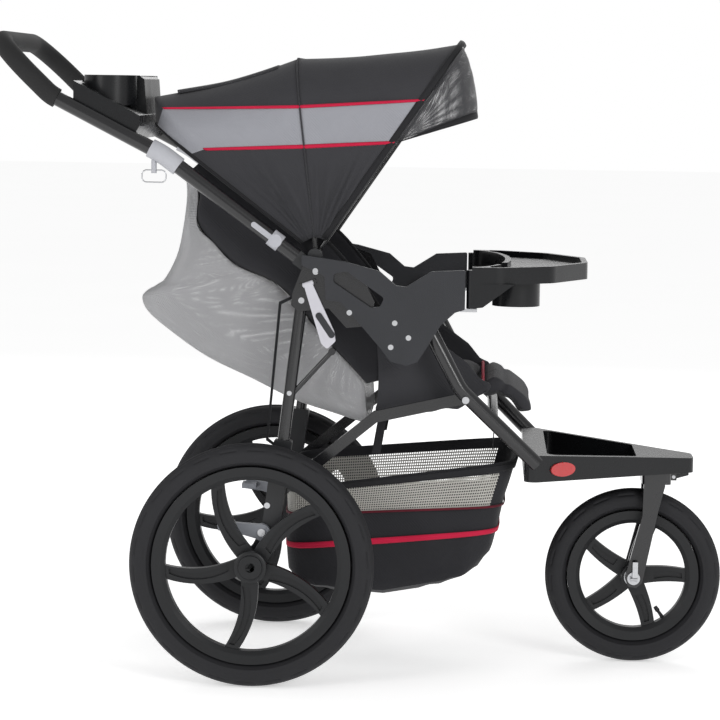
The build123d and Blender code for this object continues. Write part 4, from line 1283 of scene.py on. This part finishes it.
    def pad(
        self, mesh: bpy.types.Mesh, name: str, shrink_mm: float, cap_mm: float, finish: Finish
    ) -> bpy.types.Object:
        """Swells a pad out of a block.

        Args:
            mesh: The block.
            name: The new piece's name.
            shrink_mm: How much smaller it starts.
            cap_mm: How far any point may move.
            finish: Its material.

        Returns:
            The pad.
        """
        piece = bpy.data.objects.new(name, mesh)
        bpy.context.scene.collection.objects.link(piece)
        activate(piece)
        bpy.ops.object.mode_set(mode="EDIT")
        bpy.ops.mesh.select_all(action="SELECT")
        bpy.ops.mesh.remove_doubles(threshold=0.00005)
        bpy.ops.mesh.normals_make_consistent(inside=False)
        bpy.ops.object.mode_set(mode="OBJECT")
        remesh = piece.modifiers.new("Even", "REMESH")
        remesh.mode = "VOXEL"
        remesh.voxel_size = 0.0065
        apply_modifier(piece, "Even")
        bpy.ops.object.mode_set(mode="EDIT")
        bpy.ops.mesh.select_all(action="SELECT")
        bpy.ops.mesh.vertices_smooth(factor=0.5, repeat=4)
        bpy.ops.transform.shrink_fatten(value=-shrink_mm / 1000)
        bpy.ops.object.mode_set(mode="OBJECT")
        self.inflate(piece, cap_mm)
        soft = piece.modifiers.new("Soft", "SUBSURF")
        soft.levels = soft.render_levels = 1
        apply_modifier(piece, "Soft")
        piece.data.materials.clear()
        piece.data.materials.append(finish.make())
        bpy.ops.object.shade_smooth()
        return piece

    def inflate(self, piece: bpy.types.Object, cap_mm: float) -> None:
        """Swells a closed mesh with Blender's cloth, with no point moved further than the cap."""
        rest = [v.co.copy() for v in piece.data.vertices]
        air = piece.modifiers.new("Air", "CLOTH")
        air.settings.use_pressure = True
        air.settings.uniform_pressure_force = 4.0
        air.settings.quality = 5
        air.settings.effector_weights.gravity = 0.0
        air.point_cache.frame_start = 1
        air.point_cache.frame_end = 20
        for frame in range(1, 21):
            bpy.context.scene.frame_set(frame)
        apply_modifier(piece, "Air")
        for vertex, start in zip(piece.data.vertices, rest):
            moved = vertex.co - start
            if moved.length > cap_mm / 1000:
                vertex.co = start + moved.normalized() * (cap_mm / 1000)
        bpy.context.scene.frame_set(1)

    def channels(
        self, piece: bpy.types.Object, lines: Iterable[tuple[Vector, Vector]], depth_mm: float
    ) -> None:
        """Sews channels into a pad.

        Args:
            piece: The pad.
            lines: A point on each channel's plane, and the plane's normal.
            depth_mm: How far the stitching pulls the cloth in.
        """
        amounts = [0.0] * len(piece.data.vertices)
        for index, vertex in enumerate(piece.data.vertices):
            for point, normal in lines:
                away = abs((vertex.co - point).dot(normal)) * 1000
                amounts[index] -= depth_mm * math.exp(-((away / 5.0) ** 2))
        push_along_normals(piece, amounts)

    def build(self) -> None:
        """Makes the seat's cloth and pads."""
        back = self.pad(self.node_mesh("backrest_pad"), "backrest_pad_cushion", 3.0, 8.0, FINISH.fabric)
        slope = Vector((-0.77, 0, 0.64)).normalized()
        cross = [(place(60 - 60 * k, 0, 640 + 60 * k), slope) for k in range(-1, 4)]
        self.channels(back, cross, 4.0)
        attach(back, "backrest")
        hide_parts("backrest_pad")
        self.shell()
        self.net()
        self.sling()
        cushion = self.pad(self.block(self.cushion, 168), "seat_cushion_pad", 2.0, 6.0, FINISH.fabric)
        self.channels(cushion, [(place(x, 0, 500), Vector((1, 0, 0))) for x in (270, 320)], 4.0)
        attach(cushion, "front_frame")
        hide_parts("seat_cushion")
        rest = self.pad(self.block(self.leg_rest, 140), "leg_rest_pad", 2.0, 4.0, FINISH.fabric)
        self.channels(rest, [(place(412, 0, 490), Vector((0.5, 0, 0.86)).cross(Vector((0, 1, 0))))], 3.0)
        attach(rest, "front_frame")
        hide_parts("leg_rest")
        edge = [(377, y, 508 - 6 * (abs(y) / 172) ** 6) for y in steps(-172, 172, 20)]
        bead = pipe("cushion_piping", [place(*p) for p in edge], 2.6, FINISH.piping)
        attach(bead, "front_frame")


@dataclass
class Harness:
    """Shoulder straps, lap straps and the buckle."""

    shoulder: tuple[tuple[float, float], ...] = ((-40, 825), (9, 753), (80, 684), (150, 601))
    lap: tuple[tuple[float, float], ...] = ((240, 507), (280, 511), (308, 512))
    buckle_at: tuple[float, float, float] = (316.0, 0.0, 516.0)
    buckle_turn: tuple[float, float, float] = (0.0, -0.06, 0.0)
    buckle_size: tuple[float, float, float] = (0.044, 0.05, 0.016)
    button_steps: tuple[tuple[float, float], ...] = ((0.009, 0.0), (0.0012, -0.0025), (0.001, 0.0018))

    def build(self) -> None:
        """Makes the straps as flat webbing and the buckle as a moulded shell."""
        for side in Side:
            line = [place(x, side.value * 70, z + 3) for x, z in curve_through(self.shoulder, 6)]
            strap = ribbon(
                f"shoulder_strap_{side.name.lower()}", line, Vector((0, 1, 0)), 38, 5.0, FINISH.webbing
            )
            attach(strap, "backrest")
            line = []
            for t, (x, z) in zip(steps(0, 1, 12), curve_through(self.lap, 6)):
                line.append(place(x, side.value * lerp(118, 26, smooth(t)), z + 3))
            lap = ribbon(
                f"lap_strap_{side.name.lower()}", line, Vector((-0.3, 0.2, 0.9)), 24, 2.0, FINISH.webbing
            )
            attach(lap, "front_frame")
        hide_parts("shoulder_straps")
        self.buckle()

    def buckle(self) -> None:
        """Makes the buckle from a block: rounded, with a sunken push button."""
        deselect()
        bpy.ops.mesh.primitive_cube_add(size=1, location=place(*self.buckle_at), rotation=self.buckle_turn)
        piece = bpy.context.object
        piece.name = "harness_buckle_shell"
        piece.scale = self.buckle_size
        bpy.ops.object.transform_apply(location=True, rotation=True, scale=True)
        bpy.ops.object.mode_set(mode="EDIT")
        bpy.ops.mesh.select_all(action="DESELECT")
        work = bmesh.from_edit_mesh(piece.data)
        top = max(work.faces, key=lambda f: f.normal.z)
        for face in work.faces:
            face.select_set(face is top)
        bmesh.update_edit_mesh(piece.data)
        for thickness, depth in self.button_steps:
            bpy.ops.mesh.inset(thickness=thickness, depth=depth)
        bpy.ops.object.mode_set(mode="OBJECT")
        round_edges(piece, 3.0, 3)
        smooth_by_angle(piece)
        piece.data.materials.append(FINISH.plastic.make())
        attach(piece, "front_frame")
        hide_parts("harness_buckle")


# --- basket -----------------------------------------------------------------------------------------------


@dataclass
class Basket:
    """The open-topped basket: net walls between a hem and a solid lower part, and the straps that hang it."""

    half: float = 164.0
    front: tuple[tuple[float, float], ...] = ((176, 366), (190, 378), (215, 397), (288, 413), (376, 438))
    bottom: tuple[tuple[float, float], ...] = (
        (45, 164), (75, 140), (197, 129), (272, 139), (345, 158), (384, 178),
    )
    span: tuple[float, float] = (45.0, 444.0)
    tape_line: tuple[float, float] = (212.0, 250.0)
    net_line: tuple[float, float] = (270.0, 292.0)
    near_rim: tuple[float, float] = (314.0, 370.0)
    far_rim: tuple[float, float] = (338.0, 372.0)
    bottom_roll: float = 10.0
    squareness: float = 0.27
    hem_share: float = 0.9
    net_share: float = 0.58
    tape_share: float = 0.37
    corner: float = 52.0
    around: int = 96
    front_columns: int = 14

    def level(self, share: float, x: float, y: float) -> float:
        """Height of the wall at a place.

        Args:
            share: 0 at the bottom, 1 at the rim, with the piping and the net's foot at their own shares.
            x: Drawn X.
            y: Drawn Y.

        Returns:
            The height, between the level lines that it lies between.
        """
        far = (y / self.half + 1) / 2
        low = along(self.bottom, x) + self.bottom_roll
        tape = self.line(self.tape_line, x)
        rim = lerp(self.line(self.near_rim, x), self.line(self.far_rim, x), far)
        net = self.line(self.net_line, x)
        lines = ((0.0, low), (self.tape_share, max(tape, low + 4)), (self.net_share, net), (1.0, rim))
        return along(lines, share)

    def line(self, heights: tuple[float, float], x: float) -> float:
        """Height at X of a straight line across the basket, in drawn millimetres.

        Args:
            heights: The line's heights at the back and at the front of the basket.
            x: Where along the stroller to read it.

        Returns:
            The height there.
        """
        back, ahead = self.span
        return lerp(heights[0], heights[1], (x - back) / (ahead - back))

    def ring(self, share: float) -> list[Vector]:
        """One level of the wall.

        Args:
            share: 0 at the bottom and 1 at the rim.

        Returns:
            The level's points, all the way round.
        """
        back = self.span[0] + 3.0 * (1 - share)
        ahead = along(self.front, lerp(190, 376, share))
        wide = self.half - 16 * (1 - smooth(share * 1.6)) - 4 * math.sin(math.pi * share)
        points = []
        middle, long = (back + ahead) / 2, (ahead - back) / 2
        for k in range(self.around):
            turn = 2 * math.pi * k / self.around
            c, s = math.cos(turn), math.sin(turn)
            x = middle + long * math.copysign(abs(c) ** self.squareness, c)
            y = wide * math.copysign(abs(s) ** self.squareness, s)
            points.append(Vector((x, y, self.level(share, x, y))))
        return points

    def walls(self) -> bpy.types.Object:
        """Makes the basket's walls and bottom as one sagging shell."""
        levels = steps(0, self.tape_share, 6) + steps(self.tape_share, self.net_share, 4)[1:]
        levels += steps(self.net_share, self.hem_share, 8)[1:] + steps(self.hem_share, 1.0, 2)[1:]
        rows = [self.ring(share) for share in levels]
        inward: Grid = []
        low = rows[0]
        middle = Vector((sum(p.x for p in low) / len(low), 0, 0))
        for share in (0.97, 0.9, 0.78, 0.55, 0.3, 0.08):
            row = []
            for p in low:
                x, y = lerp(middle.x, p.x, share), p.y * share
                row.append(
                    Vector((x, y, along(self.bottom, x) + self.bottom_roll * smooth((share - 0.72) / 0.28)))
                )
            inward.append(row)
        grid = inward[::-1] + rows
        made: Grid = [[place(*p) for p in row] for row in grid]
        flat_rows = len(inward)

        def band(i: int, column: int) -> int:
            """0 for the net, and 1 for the closed cloth above, below and in front of it."""
            if i < flat_rows:
                return 1
            share = (
                levels[min(i - flat_rows, len(levels) - 2)] + levels[min(i - flat_rows + 1, len(levels) - 1)]
            ) / 2
            sides = self.front_columns <= column < self.around - self.front_columns
            return 0 if sides and self.net_share < share < self.hem_share else 1

        closed = [row + row[:1] for row in made]
        size, area = cut_size(closed)
        piece = grid_piece("basket_bag", made, (FINISH.basket_net, FINISH.dark_fabric), band, ring=True)
        activate(piece)
        bpy.ops.object.mode_set(mode="EDIT")
        bpy.ops.mesh.select_all(action="DESELECT")
        bpy.ops.mesh.select_non_manifold(extend=False)
        work = bmesh.from_edit_mesh(piece.data)
        lowest = min(v.co.z for v in work.verts if v.select) + 0.02
        for vert in work.verts:
            if vert.co.z > lowest:
                vert.select_set(False)
        work.select_flush_mode()
        bmesh.update_edit_mesh(piece.data)
        bpy.ops.mesh.edge_face_add()
        bpy.ops.object.mode_set(mode="OBJECT")
        for face in piece.data.polygons:
            if len(face.vertices) > 4:
                face.material_index = 1
        flip_outwards(piece, place(220, 0, 260))
        lifts = []
        for vertex in piece.data.vertices:
            fold = noise.noise(vertex.co * 16 + Vector((0, 0, 4)))
            ruck = math.sin(vertex.co.x * 150 + 3 * fold) if vertex.co.z < 0.24 else 0.0
            lifts.append(2.6 * fold + 1.1 * ruck)
        push_along_normals(piece, lifts)
        thicken(piece, 1.4, -1.0)
        return piece

    def tape(self, name: str, share: float, width_mm: float, finish: Finish) -> bpy.types.Object:
        """Makes a binding all round the basket.

        Args:
            name: The piece's name.
            share: Its level.
            width_mm: Its width.
            finish: Its material.

        Returns:
            The binding.
        """
        half_share = width_mm / 2 / 205
        rows = []
        for level in steps(share - half_share, share + half_share, 3):
            rows.append([place(*p) for p in self.ring(level)])
        piece = grid_piece(name, rows, (finish,), ring=True)
        flip_outwards(piece, place(220, 0, 260))
        push_along_normals(piece, [2.2] * len(piece.data.vertices))
        thicken(piece, 2.0, 0.0)
        return piece

    def build(self) -> None:
        """Makes the basket, its bindings and its hanging straps."""
        pieces = [
            self.walls(),
            self.tape("basket_rim_binding", 0.95, 14.0, FINISH.binding),
            self.tape("basket_upper_piping", self.net_share, 4.0, FINISH.dark_piping),
            self.tape("basket_lower_piping", self.tape_share, 9.0, FINISH.piping),
        ]
        for piece in pieces:
            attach(piece, "front_frame")
            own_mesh(piece)
        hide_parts("storage_basket")
        for side in Side:
            word = side.name.lower()
            y = side.value * 154
            front = [place(x, y, z) for x, z in ((396, 388), (396.5, 402), (397, 418), (396, 433))]
            rear = [
                place(x, y + side.value * 8, z)
                for x, z in ((199, 377), (203, 400), (207, 425), (211, 447))
            ]
            strap = ribbon(f"basket_hanger_{word}", front, Vector((0, 1, 0)), 22, 1.8, FINISH.webbing)
            tie = ribbon(f"basket_tie_{word}", rear, Vector((1, 0, 0.1)), 15, 1.8, FINISH.webbing)
            for piece in (strap, tie):
                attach(piece, "front_frame")
        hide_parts("basket_straps")


# --- wheels -----------------------------------------------------------------------------------------------


@dataclass
class Wheel:
    """One wheel's tyre and hub face, made round its CAD rim."""

    name: str
    body: str
    tyre_node: str
    axle: tuple[float, float, float]
    radius: float
    slots: int
    faces: tuple[int, ...]
    tyre_height: float = 38.5
    tyre_half: float = 23.0
    hub_face: float = 27.0
    hub_out: float = 25.0
    valve_turn: float = 0.0
    hub_steps: tuple[tuple[float, float], ...] = (
        (0.004, 0.0015),
        (0.003, -0.001),
        (0.006, 0.0015),
        (0.006, 0.001),
    )

    def tyre(self) -> bpy.types.Object:
        """Makes the tyre from a ring: tread slots on both shoulders and a step above the rim."""
        deselect()
        minor = self.tyre_height / 2
        segments = self.slots * 6
        bpy.ops.mesh.primitive_torus_add(
            location=place(*self.axle),
            rotation=(math.pi / 2, 0, 0),
            major_segments=segments,
            minor_segments=28,
            major_radius=(self.radius - minor) / 1000,
            minor_radius=minor / 1000,
        )
        piece = bpy.context.object
        piece.name = self.name + "_tyre"
        piece.scale = (1, 1, self.tyre_half / minor)
        bpy.ops.object.transform_apply(location=True, rotation=True, scale=True)
        centre = place(*self.axle)
        bpy.ops.object.mode_set(mode="EDIT")
        self.press(piece, centre, self.is_slot, 0.0016, -0.0022)
        self.press(piece, centre, self.is_bead, 0.0008, 0.0012)
        self.press(piece, centre, self.is_groove, 0.0006, -0.0016)
        bpy.ops.object.mode_set(mode="OBJECT")
        soft = piece.modifiers.new("Soft", "SUBSURF")
        soft.levels = soft.render_levels = 1
        apply_modifier(piece, "Soft")
        bpy.ops.object.shade_smooth()
        piece.data.materials.append(FINISH.tyre.make())
        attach(piece, self.body)
        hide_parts(self.tyre_node)
        return piece

    def is_slot(self, out: float, y: float, turn: float) -> bool:
        """True for the shoulder faces that a tread slot is pressed into."""
        share = (turn / (2 * math.pi) * self.slots + (0.5 if y > 0 else 0.0)) % 1.0
        return self.radius - 12.5 < out < self.radius - 6.0 and 8 < abs(y) and share < 0.6

    def is_bead(self, out: float, y: float, turn: float) -> bool:
        """True for the side faces of the raised ring above the rim."""
        seat = self.radius - self.tyre_height
        return seat + 6.5 < out < seat + 11.0 and abs(y) > 8

    def is_groove(self, out: float, y: float, turn: float) -> bool:
        """True for the two grooves that run round the middle of the tread."""
        return out > self.radius - 4.0 and 3 < abs(y) < 8

    def press(
        self,
        piece: bpy.types.Object,
        centre: Vector,
        wanted: Callable[[float, float, float], bool],
        rim: float,
        depth: float,
    ) -> None:
        """Insets the faces that a test picks, and moves them along their normals.

        Args:
            piece: The tyre, in edit mode.
            centre: The wheel's centre.
            wanted: Tests a face by its radius, its Y and its angle.
            rim: Width of the border.
            depth: How far they move, outwards if above 0.
        """
        bpy.ops.mesh.select_all(action="DESELECT")
        bpy.ops.mesh.select_mode(type="FACE")
        work = bmesh.from_edit_mesh(piece.data)
        for face in work.faces:
            at = (face.calc_center_median() - centre) * 1000
            out = math.hypot(at.x, at.z)
            face.select_set(wanted(out, at.y, math.atan2(at.z, at.x) % (2 * math.pi)))
        bmesh.update_edit_mesh(piece.data)
        bpy.ops.mesh.inset(thickness=rim, depth=0.0, use_even_offset=True)
        bpy.ops.transform.shrink_fatten(value=depth)

    def hub(self, side: int) -> bpy.types.Object:
        """Makes the hub's round face from a disc: a raised rim and a shallow dome.

        Args:
            side: 1 for the left face and -1 for the right one.

        Returns:
            The hub face.
        """
        deselect()
        x, y, z = self.axle
        bpy.ops.mesh.primitive_cylinder_add(
            vertices=48,
            radius=self.hub_face / 1000,
            depth=0.007,
            location=place(x, y + side * (self.hub_out - 1.5), z),
            rotation=(math.pi / 2, 0, 0),
        )
        piece = bpy.context.object
        piece.name = f"{self.name}_hub_face_{'left' if side > 0 else 'right'}"
        bpy.ops.object.transform_apply(location=True, rotation=True, scale=True)
        bpy.ops.object.mode_set(mode="EDIT")
        bpy.ops.mesh.select_mode(type="FACE")
        bpy.ops.mesh.select_all(action="DESELECT")
        work = bmesh.from_edit_mesh(piece.data)
        outer = max(work.faces, key=lambda f: f.calc_center_median().y * side)
        outer.select_set(True)
        bmesh.update_edit_mesh(piece.data)
        for thickness, depth in self.hub_steps:
            bpy.ops.mesh.inset(thickness=thickness, depth=depth)
        bpy.ops.object.mode_set(mode="OBJECT")
        round_edges(piece, 0.8)
        smooth_by_angle(piece)
        piece.data.materials.append(FINISH.wheel.make())
        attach(piece, self.body)
        return piece

    def valve(self) -> None:
        """Makes the valve stem: a tapered cone with a cap, standing in from the rim."""
        deselect()
        turn = math.radians(self.valve_turn)
        out = Vector((math.cos(turn), 0, math.sin(turn)))
        foot = self.radius - self.tyre_height - 21.0
        x, y, z = self.axle
        for label, radius, length, along_mm in (("stem", 3.4, 16.0, 8.0), ("cap", 4.2, 9.0, 19.0)):
            spot = Vector((x, y, z)) + out * (foot - along_mm)
            bpy.ops.mesh.primitive_cone_add(
                vertices=20,
                radius1=radius / 1000,
                radius2=radius * 0.8 / 1000,
                depth=length / 1000,
                location=place(*spot),
                rotation=(-out).to_track_quat("Z", "Y").to_euler(),
            )
            piece = bpy.context.object
            piece.name = f"{self.name}_valve_{label}"
            bpy.ops.object.transform_apply(location=True, rotation=True, scale=True)
            round_edges(piece, 0.6)
            smooth_by_angle(piece)
            piece.data.materials.append(FINISH.tyre.make())
            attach(piece, self.body)

    def build(self) -> None:
        """Makes the tyre, the hub faces and the valve."""
        self.tyre()
        if self.valve_turn:
            self.valve()
        for side in self.faces:
            self.hub(side)


# --- carried CAD parts ------------------------------------------------------------------------------------


@dataclass
class LeverInsert:
    """The dark grip pad let into each latch lever."""

    upper: tuple[float, float] = (105.0, 616.0)
    lower: tuple[float, float] = (126.0, 585.0)
    radius: float = 5.5
    proud: float = 0.8

    def build(self) -> None:
        """Makes one capsule-shaped pad on each lever's outer face."""
        for side in Side:
            word = side.name.lower()
            low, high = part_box(f"latch_lever_{word}")
            face = (high[1] if side.value > 0 else low[1]) * 1000
            self.capsule(f"latch_insert_{word}", f"latch_{word}", face + side.value * (self.proud - 1.5))

    def capsule(self, name: str, body: str, y: float) -> None:
        """Stretches a disc into a capsule between the two ends.

        Args:
            name: The piece's name.
            body: The body it rides on.
            y: Drawn Y of its middle.
        """
        deselect()
        start, end = place(self.lower[0], y, self.lower[1]), place(self.upper[0], y, self.upper[1])
        bpy.ops.mesh.primitive_cylinder_add(
            vertices=32, radius=self.radius / 1000, depth=0.003, location=start, rotation=(math.pi / 2, 0, 0)
        )
        piece = bpy.context.object
        piece.name = name
        bpy.ops.object.transform_apply(location=True, rotation=True, scale=True)
        bpy.ops.object.mode_set(mode="EDIT")
        bpy.ops.mesh.select_mode(type="VERT")
        bpy.ops.mesh.select_all(action="DESELECT")
        work = bmesh.from_edit_mesh(piece.data)
        for vert in work.verts:
            vert.select_set((vert.co - start).dot(end - start) > 0.000001)
        work.select_flush_mode()
        bmesh.update_edit_mesh(piece.data)
        bpy.ops.transform.translate(value=end - start)
        bpy.ops.object.mode_set(mode="OBJECT")
        round_edges(piece, 0.6)
        smooth_by_angle(piece)
        piece.data.materials.append(FINISH.plastic.make())
        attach(piece, body)


@dataclass
class CarriedParts:
    """CAD nodes whose shape is right, with the finish that each gets."""

    dress: dict[str, Finish] = field(
        default_factory=lambda: {
            "side_panels": FINISH.plastic,
            "panel_screws": FINISH.steel,
            "hinge_plates": FINISH.tube,
            "frame_pins": FINISH.steel,
            "front_tubes": FINISH.tube,
            "seat_cross_tube": FINISH.tube,
            "footrest_platform": FINISH.tray_plastic,
            "footrest_reflectors": FINISH.lens,
            "fork_housing": FINISH.smooth_plastic,
            "handle_side_tubes": FINISH.tube,
            "handle_knuckles": FINISH.smooth_plastic,
            "handlebar": FINISH.tube,
            "handle_grip": FINISH.foam,
            "tube_collars": FINISH.pale_plastic,
            "parent_console": FINISH.tray_plastic,
            "leg_castings": FINISH.smooth_plastic,
            "leg_tubes": FINISH.tube,
            "rear_axle": FINISH.tube,
            "leg_fasteners": FINISH.steel,
            "latch_hooks": FINISH.tube,
            "seat_rails": FINISH.tube,
            "fold_struts": FINISH.tube,
            "canopy_mid_bow": FINISH.tube,
            "canopy_front_bow": FINISH.tube,
            "rear_rim_left": FINISH.wheel,
            "rear_rim_right": FINISH.wheel,
            "front_rim": FINISH.wheel,
            "rear_bearings_and_cap_left": FINISH.wheel,
            "rear_bearings_and_cap_right": FINISH.wheel,
            "front_bearings": FINISH.steel,
            "fork": FINISH.tube,
            "fork_pins": FINISH.steel,
            "swivel_lock_lever": FINISH.smooth_plastic,
            "quick_release_lever": FINISH.steel,
            "brake_pedal_left": FINISH.grey_plastic,
            "brake_pedal_right": FINISH.grey_plastic,
            "latch_lever_left": FINISH.silver,
            "latch_lever_right": FINISH.silver,
            "fold_trigger_left": FINISH.pale_plastic,
            "fold_trigger_right": FINISH.pale_plastic,
            "tether_ring": FINISH.steel,
            "child_tray": FINISH.tray_plastic,
            "leg_straps": FINISH.webbing,
        }
    )

    def build(self, nodes: dict[str, bpy.types.Object]) -> None:
        """Gives each carried node its finish.

        Args:
            nodes: The frame's CAD nodes.
        """
        for name, finish in self.dress.items():
            mesh = nodes[name].data
            mesh.materials.clear()
            mesh.materials.append(finish.make())
            if "UVMap" not in mesh.uv_layers:
                mesh.uv_layers.new(name="UVMap")
        for name in nodes:
            if name not in self.dress and not nodes[name].hide_render:
                LOG.warning("%s has no finish of its own", name)


# --- studio -----------------------------------------------------------------------------------------------


@dataclass
class Studio:
    """The floor, the light and the camera."""

    eye: tuple[float, float, float] = (0.19666, -4.90711, 0.99502)
    azimuth: float = 0.04178
    elevation: float = 0.09659
    roll: float = 0.01465
    lens: float = 141.79
    floor_size: float = 60.0
    room_light: float = 0.55
    aim: tuple[float, float, float] = (0.0, 0.0, 0.55)
    lamps: tuple[tuple[str, tuple[float, float, float], float, float], ...] = (
        ("key_softbox", (2.6, -4.2, 2.2), 1.6, 75),
        ("fill_softbox", (-3.2, -3.4, 2.0), 1.6, 45),
        ("back_softbox", (0.3, 3.6, 2.8), 2.4, 40),
    )

    def floor(self) -> None:
        """Lays a wide sheet of studio paper."""
        deselect()
        bpy.ops.mesh.primitive_grid_add(
            x_subdivisions=4, y_subdivisions=4, size=self.floor_size, location=(0, 0, 0)
        )
        paper = bpy.context.object
        paper.name = "studio_floor"
        paper.data.materials.append(FINISH.paper.make())
        paper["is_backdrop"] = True

    def lamp(self, name: str, spot: tuple[float, float, float], size: float, power: float) -> None:
        """Hangs one soft box, turned to the stroller.

        Args:
            name: Its name.
            spot: Where it hangs, in metres.
            size: Its width.
            power: Its power in watts.
        """
        data = bpy.data.lights.new(name, "AREA")
        data.shape = "SQUARE"
        data.size = size
        data.energy = power
        box = bpy.data.objects.new(name, data)
        box.location = spot
        box.rotation_euler = (Vector(self.aim) - Vector(spot)).to_track_quat("-Z", "Y").to_euler()
        bpy.context.scene.collection.objects.link(box)

    def camera(self) -> None:
        """Sets the camera at the given viewing angle."""
        a, e, r = self.azimuth, self.elevation, self.roll
        ahead = Vector((-math.sin(a) * math.cos(e), math.cos(a) * math.cos(e), -math.sin(e)))
        level = Vector((math.cos(a), math.sin(a), 0))
        upright = level.cross(ahead)
        right = level * math.cos(r) + upright * math.sin(r)
        up = upright * math.cos(r) - level * math.sin(r)
        data = bpy.data.cameras.new("studio_camera")
        data.lens = self.lens
        data.sensor_width = 36.0
        data.clip_end = 200.0
        eye = bpy.data.objects.new("studio_camera", data)
        turn = Matrix((right, up, -ahead)).transposed()
        eye.matrix_world = Matrix.Translation(self.eye) @ turn.to_4x4()
        bpy.context.scene.collection.objects.link(eye)
        bpy.context.scene.camera = eye

    def build(self) -> None:
        """Sets up the camera, floor and lights."""
        self.camera()
        self.floor()
        for name, spot, size, power in self.lamps:
            self.lamp(name, spot, size, power)
        world = bpy.data.worlds.new("studio_world")
        world.use_nodes = True
        sky = world.node_tree.nodes["Background"]
        sky.inputs["Color"].default_value = linear("#ffffff")
        rays = add_node(world.node_tree, "ShaderNodeLightPath")
        level = add_node(
            world.node_tree,
            "ShaderNodeMapRange",
            {"To Min": self.room_light, "To Max": 1.0},
            {"Value": rays.outputs["Is Camera Ray"]},
        )
        world.node_tree.links.new(level.outputs["Result"], sky.inputs["Strength"])
        bpy.context.scene.world = world
        bpy.context.scene.view_settings.view_transform = "Standard"


def corners() -> list[list[float]]:
    """The shown object's box as plain numbers."""
    low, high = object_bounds()
    return [list(low), list(high)]


def main() -> None:
    """Builds the stroller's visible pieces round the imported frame."""
    logging.basicConfig(level=logging.INFO, format="%(message)s")
    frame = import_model()
    Studio().build()
    LOG.info("studio is set")
    Canopy().build()
    LOG.info("canopy is made")
    Seat().build()
    Harness().build()
    LOG.info("seat and harness are made")
    Basket().build()
    LOG.info("basket is made")
    wheels = (
        Wheel("rear_wheel_left", "rear_wheel_left", "rear_tyre_left", (0, 285, 203.2), 203.2, 26, (1,)),
        Wheel("rear_wheel_right", "rear_wheel_right", "rear_tyre_right", (0, -285, 203.2), 203.2, 26, (-1,)),
        Wheel("front_wheel", "front_wheel", "front_tyre", (644, 0, 152.4), 152.4, 20, (), valve_turn=-54.0),
    )
    for wheel in wheels:
        wheel.build()
        LOG.info("%s is made", wheel.name)
    LeverInsert().build()
    LOG.info("lever inserts are made")
    CarriedParts().build(frame["nodes"])


if __name__ == "__main__":
    main()
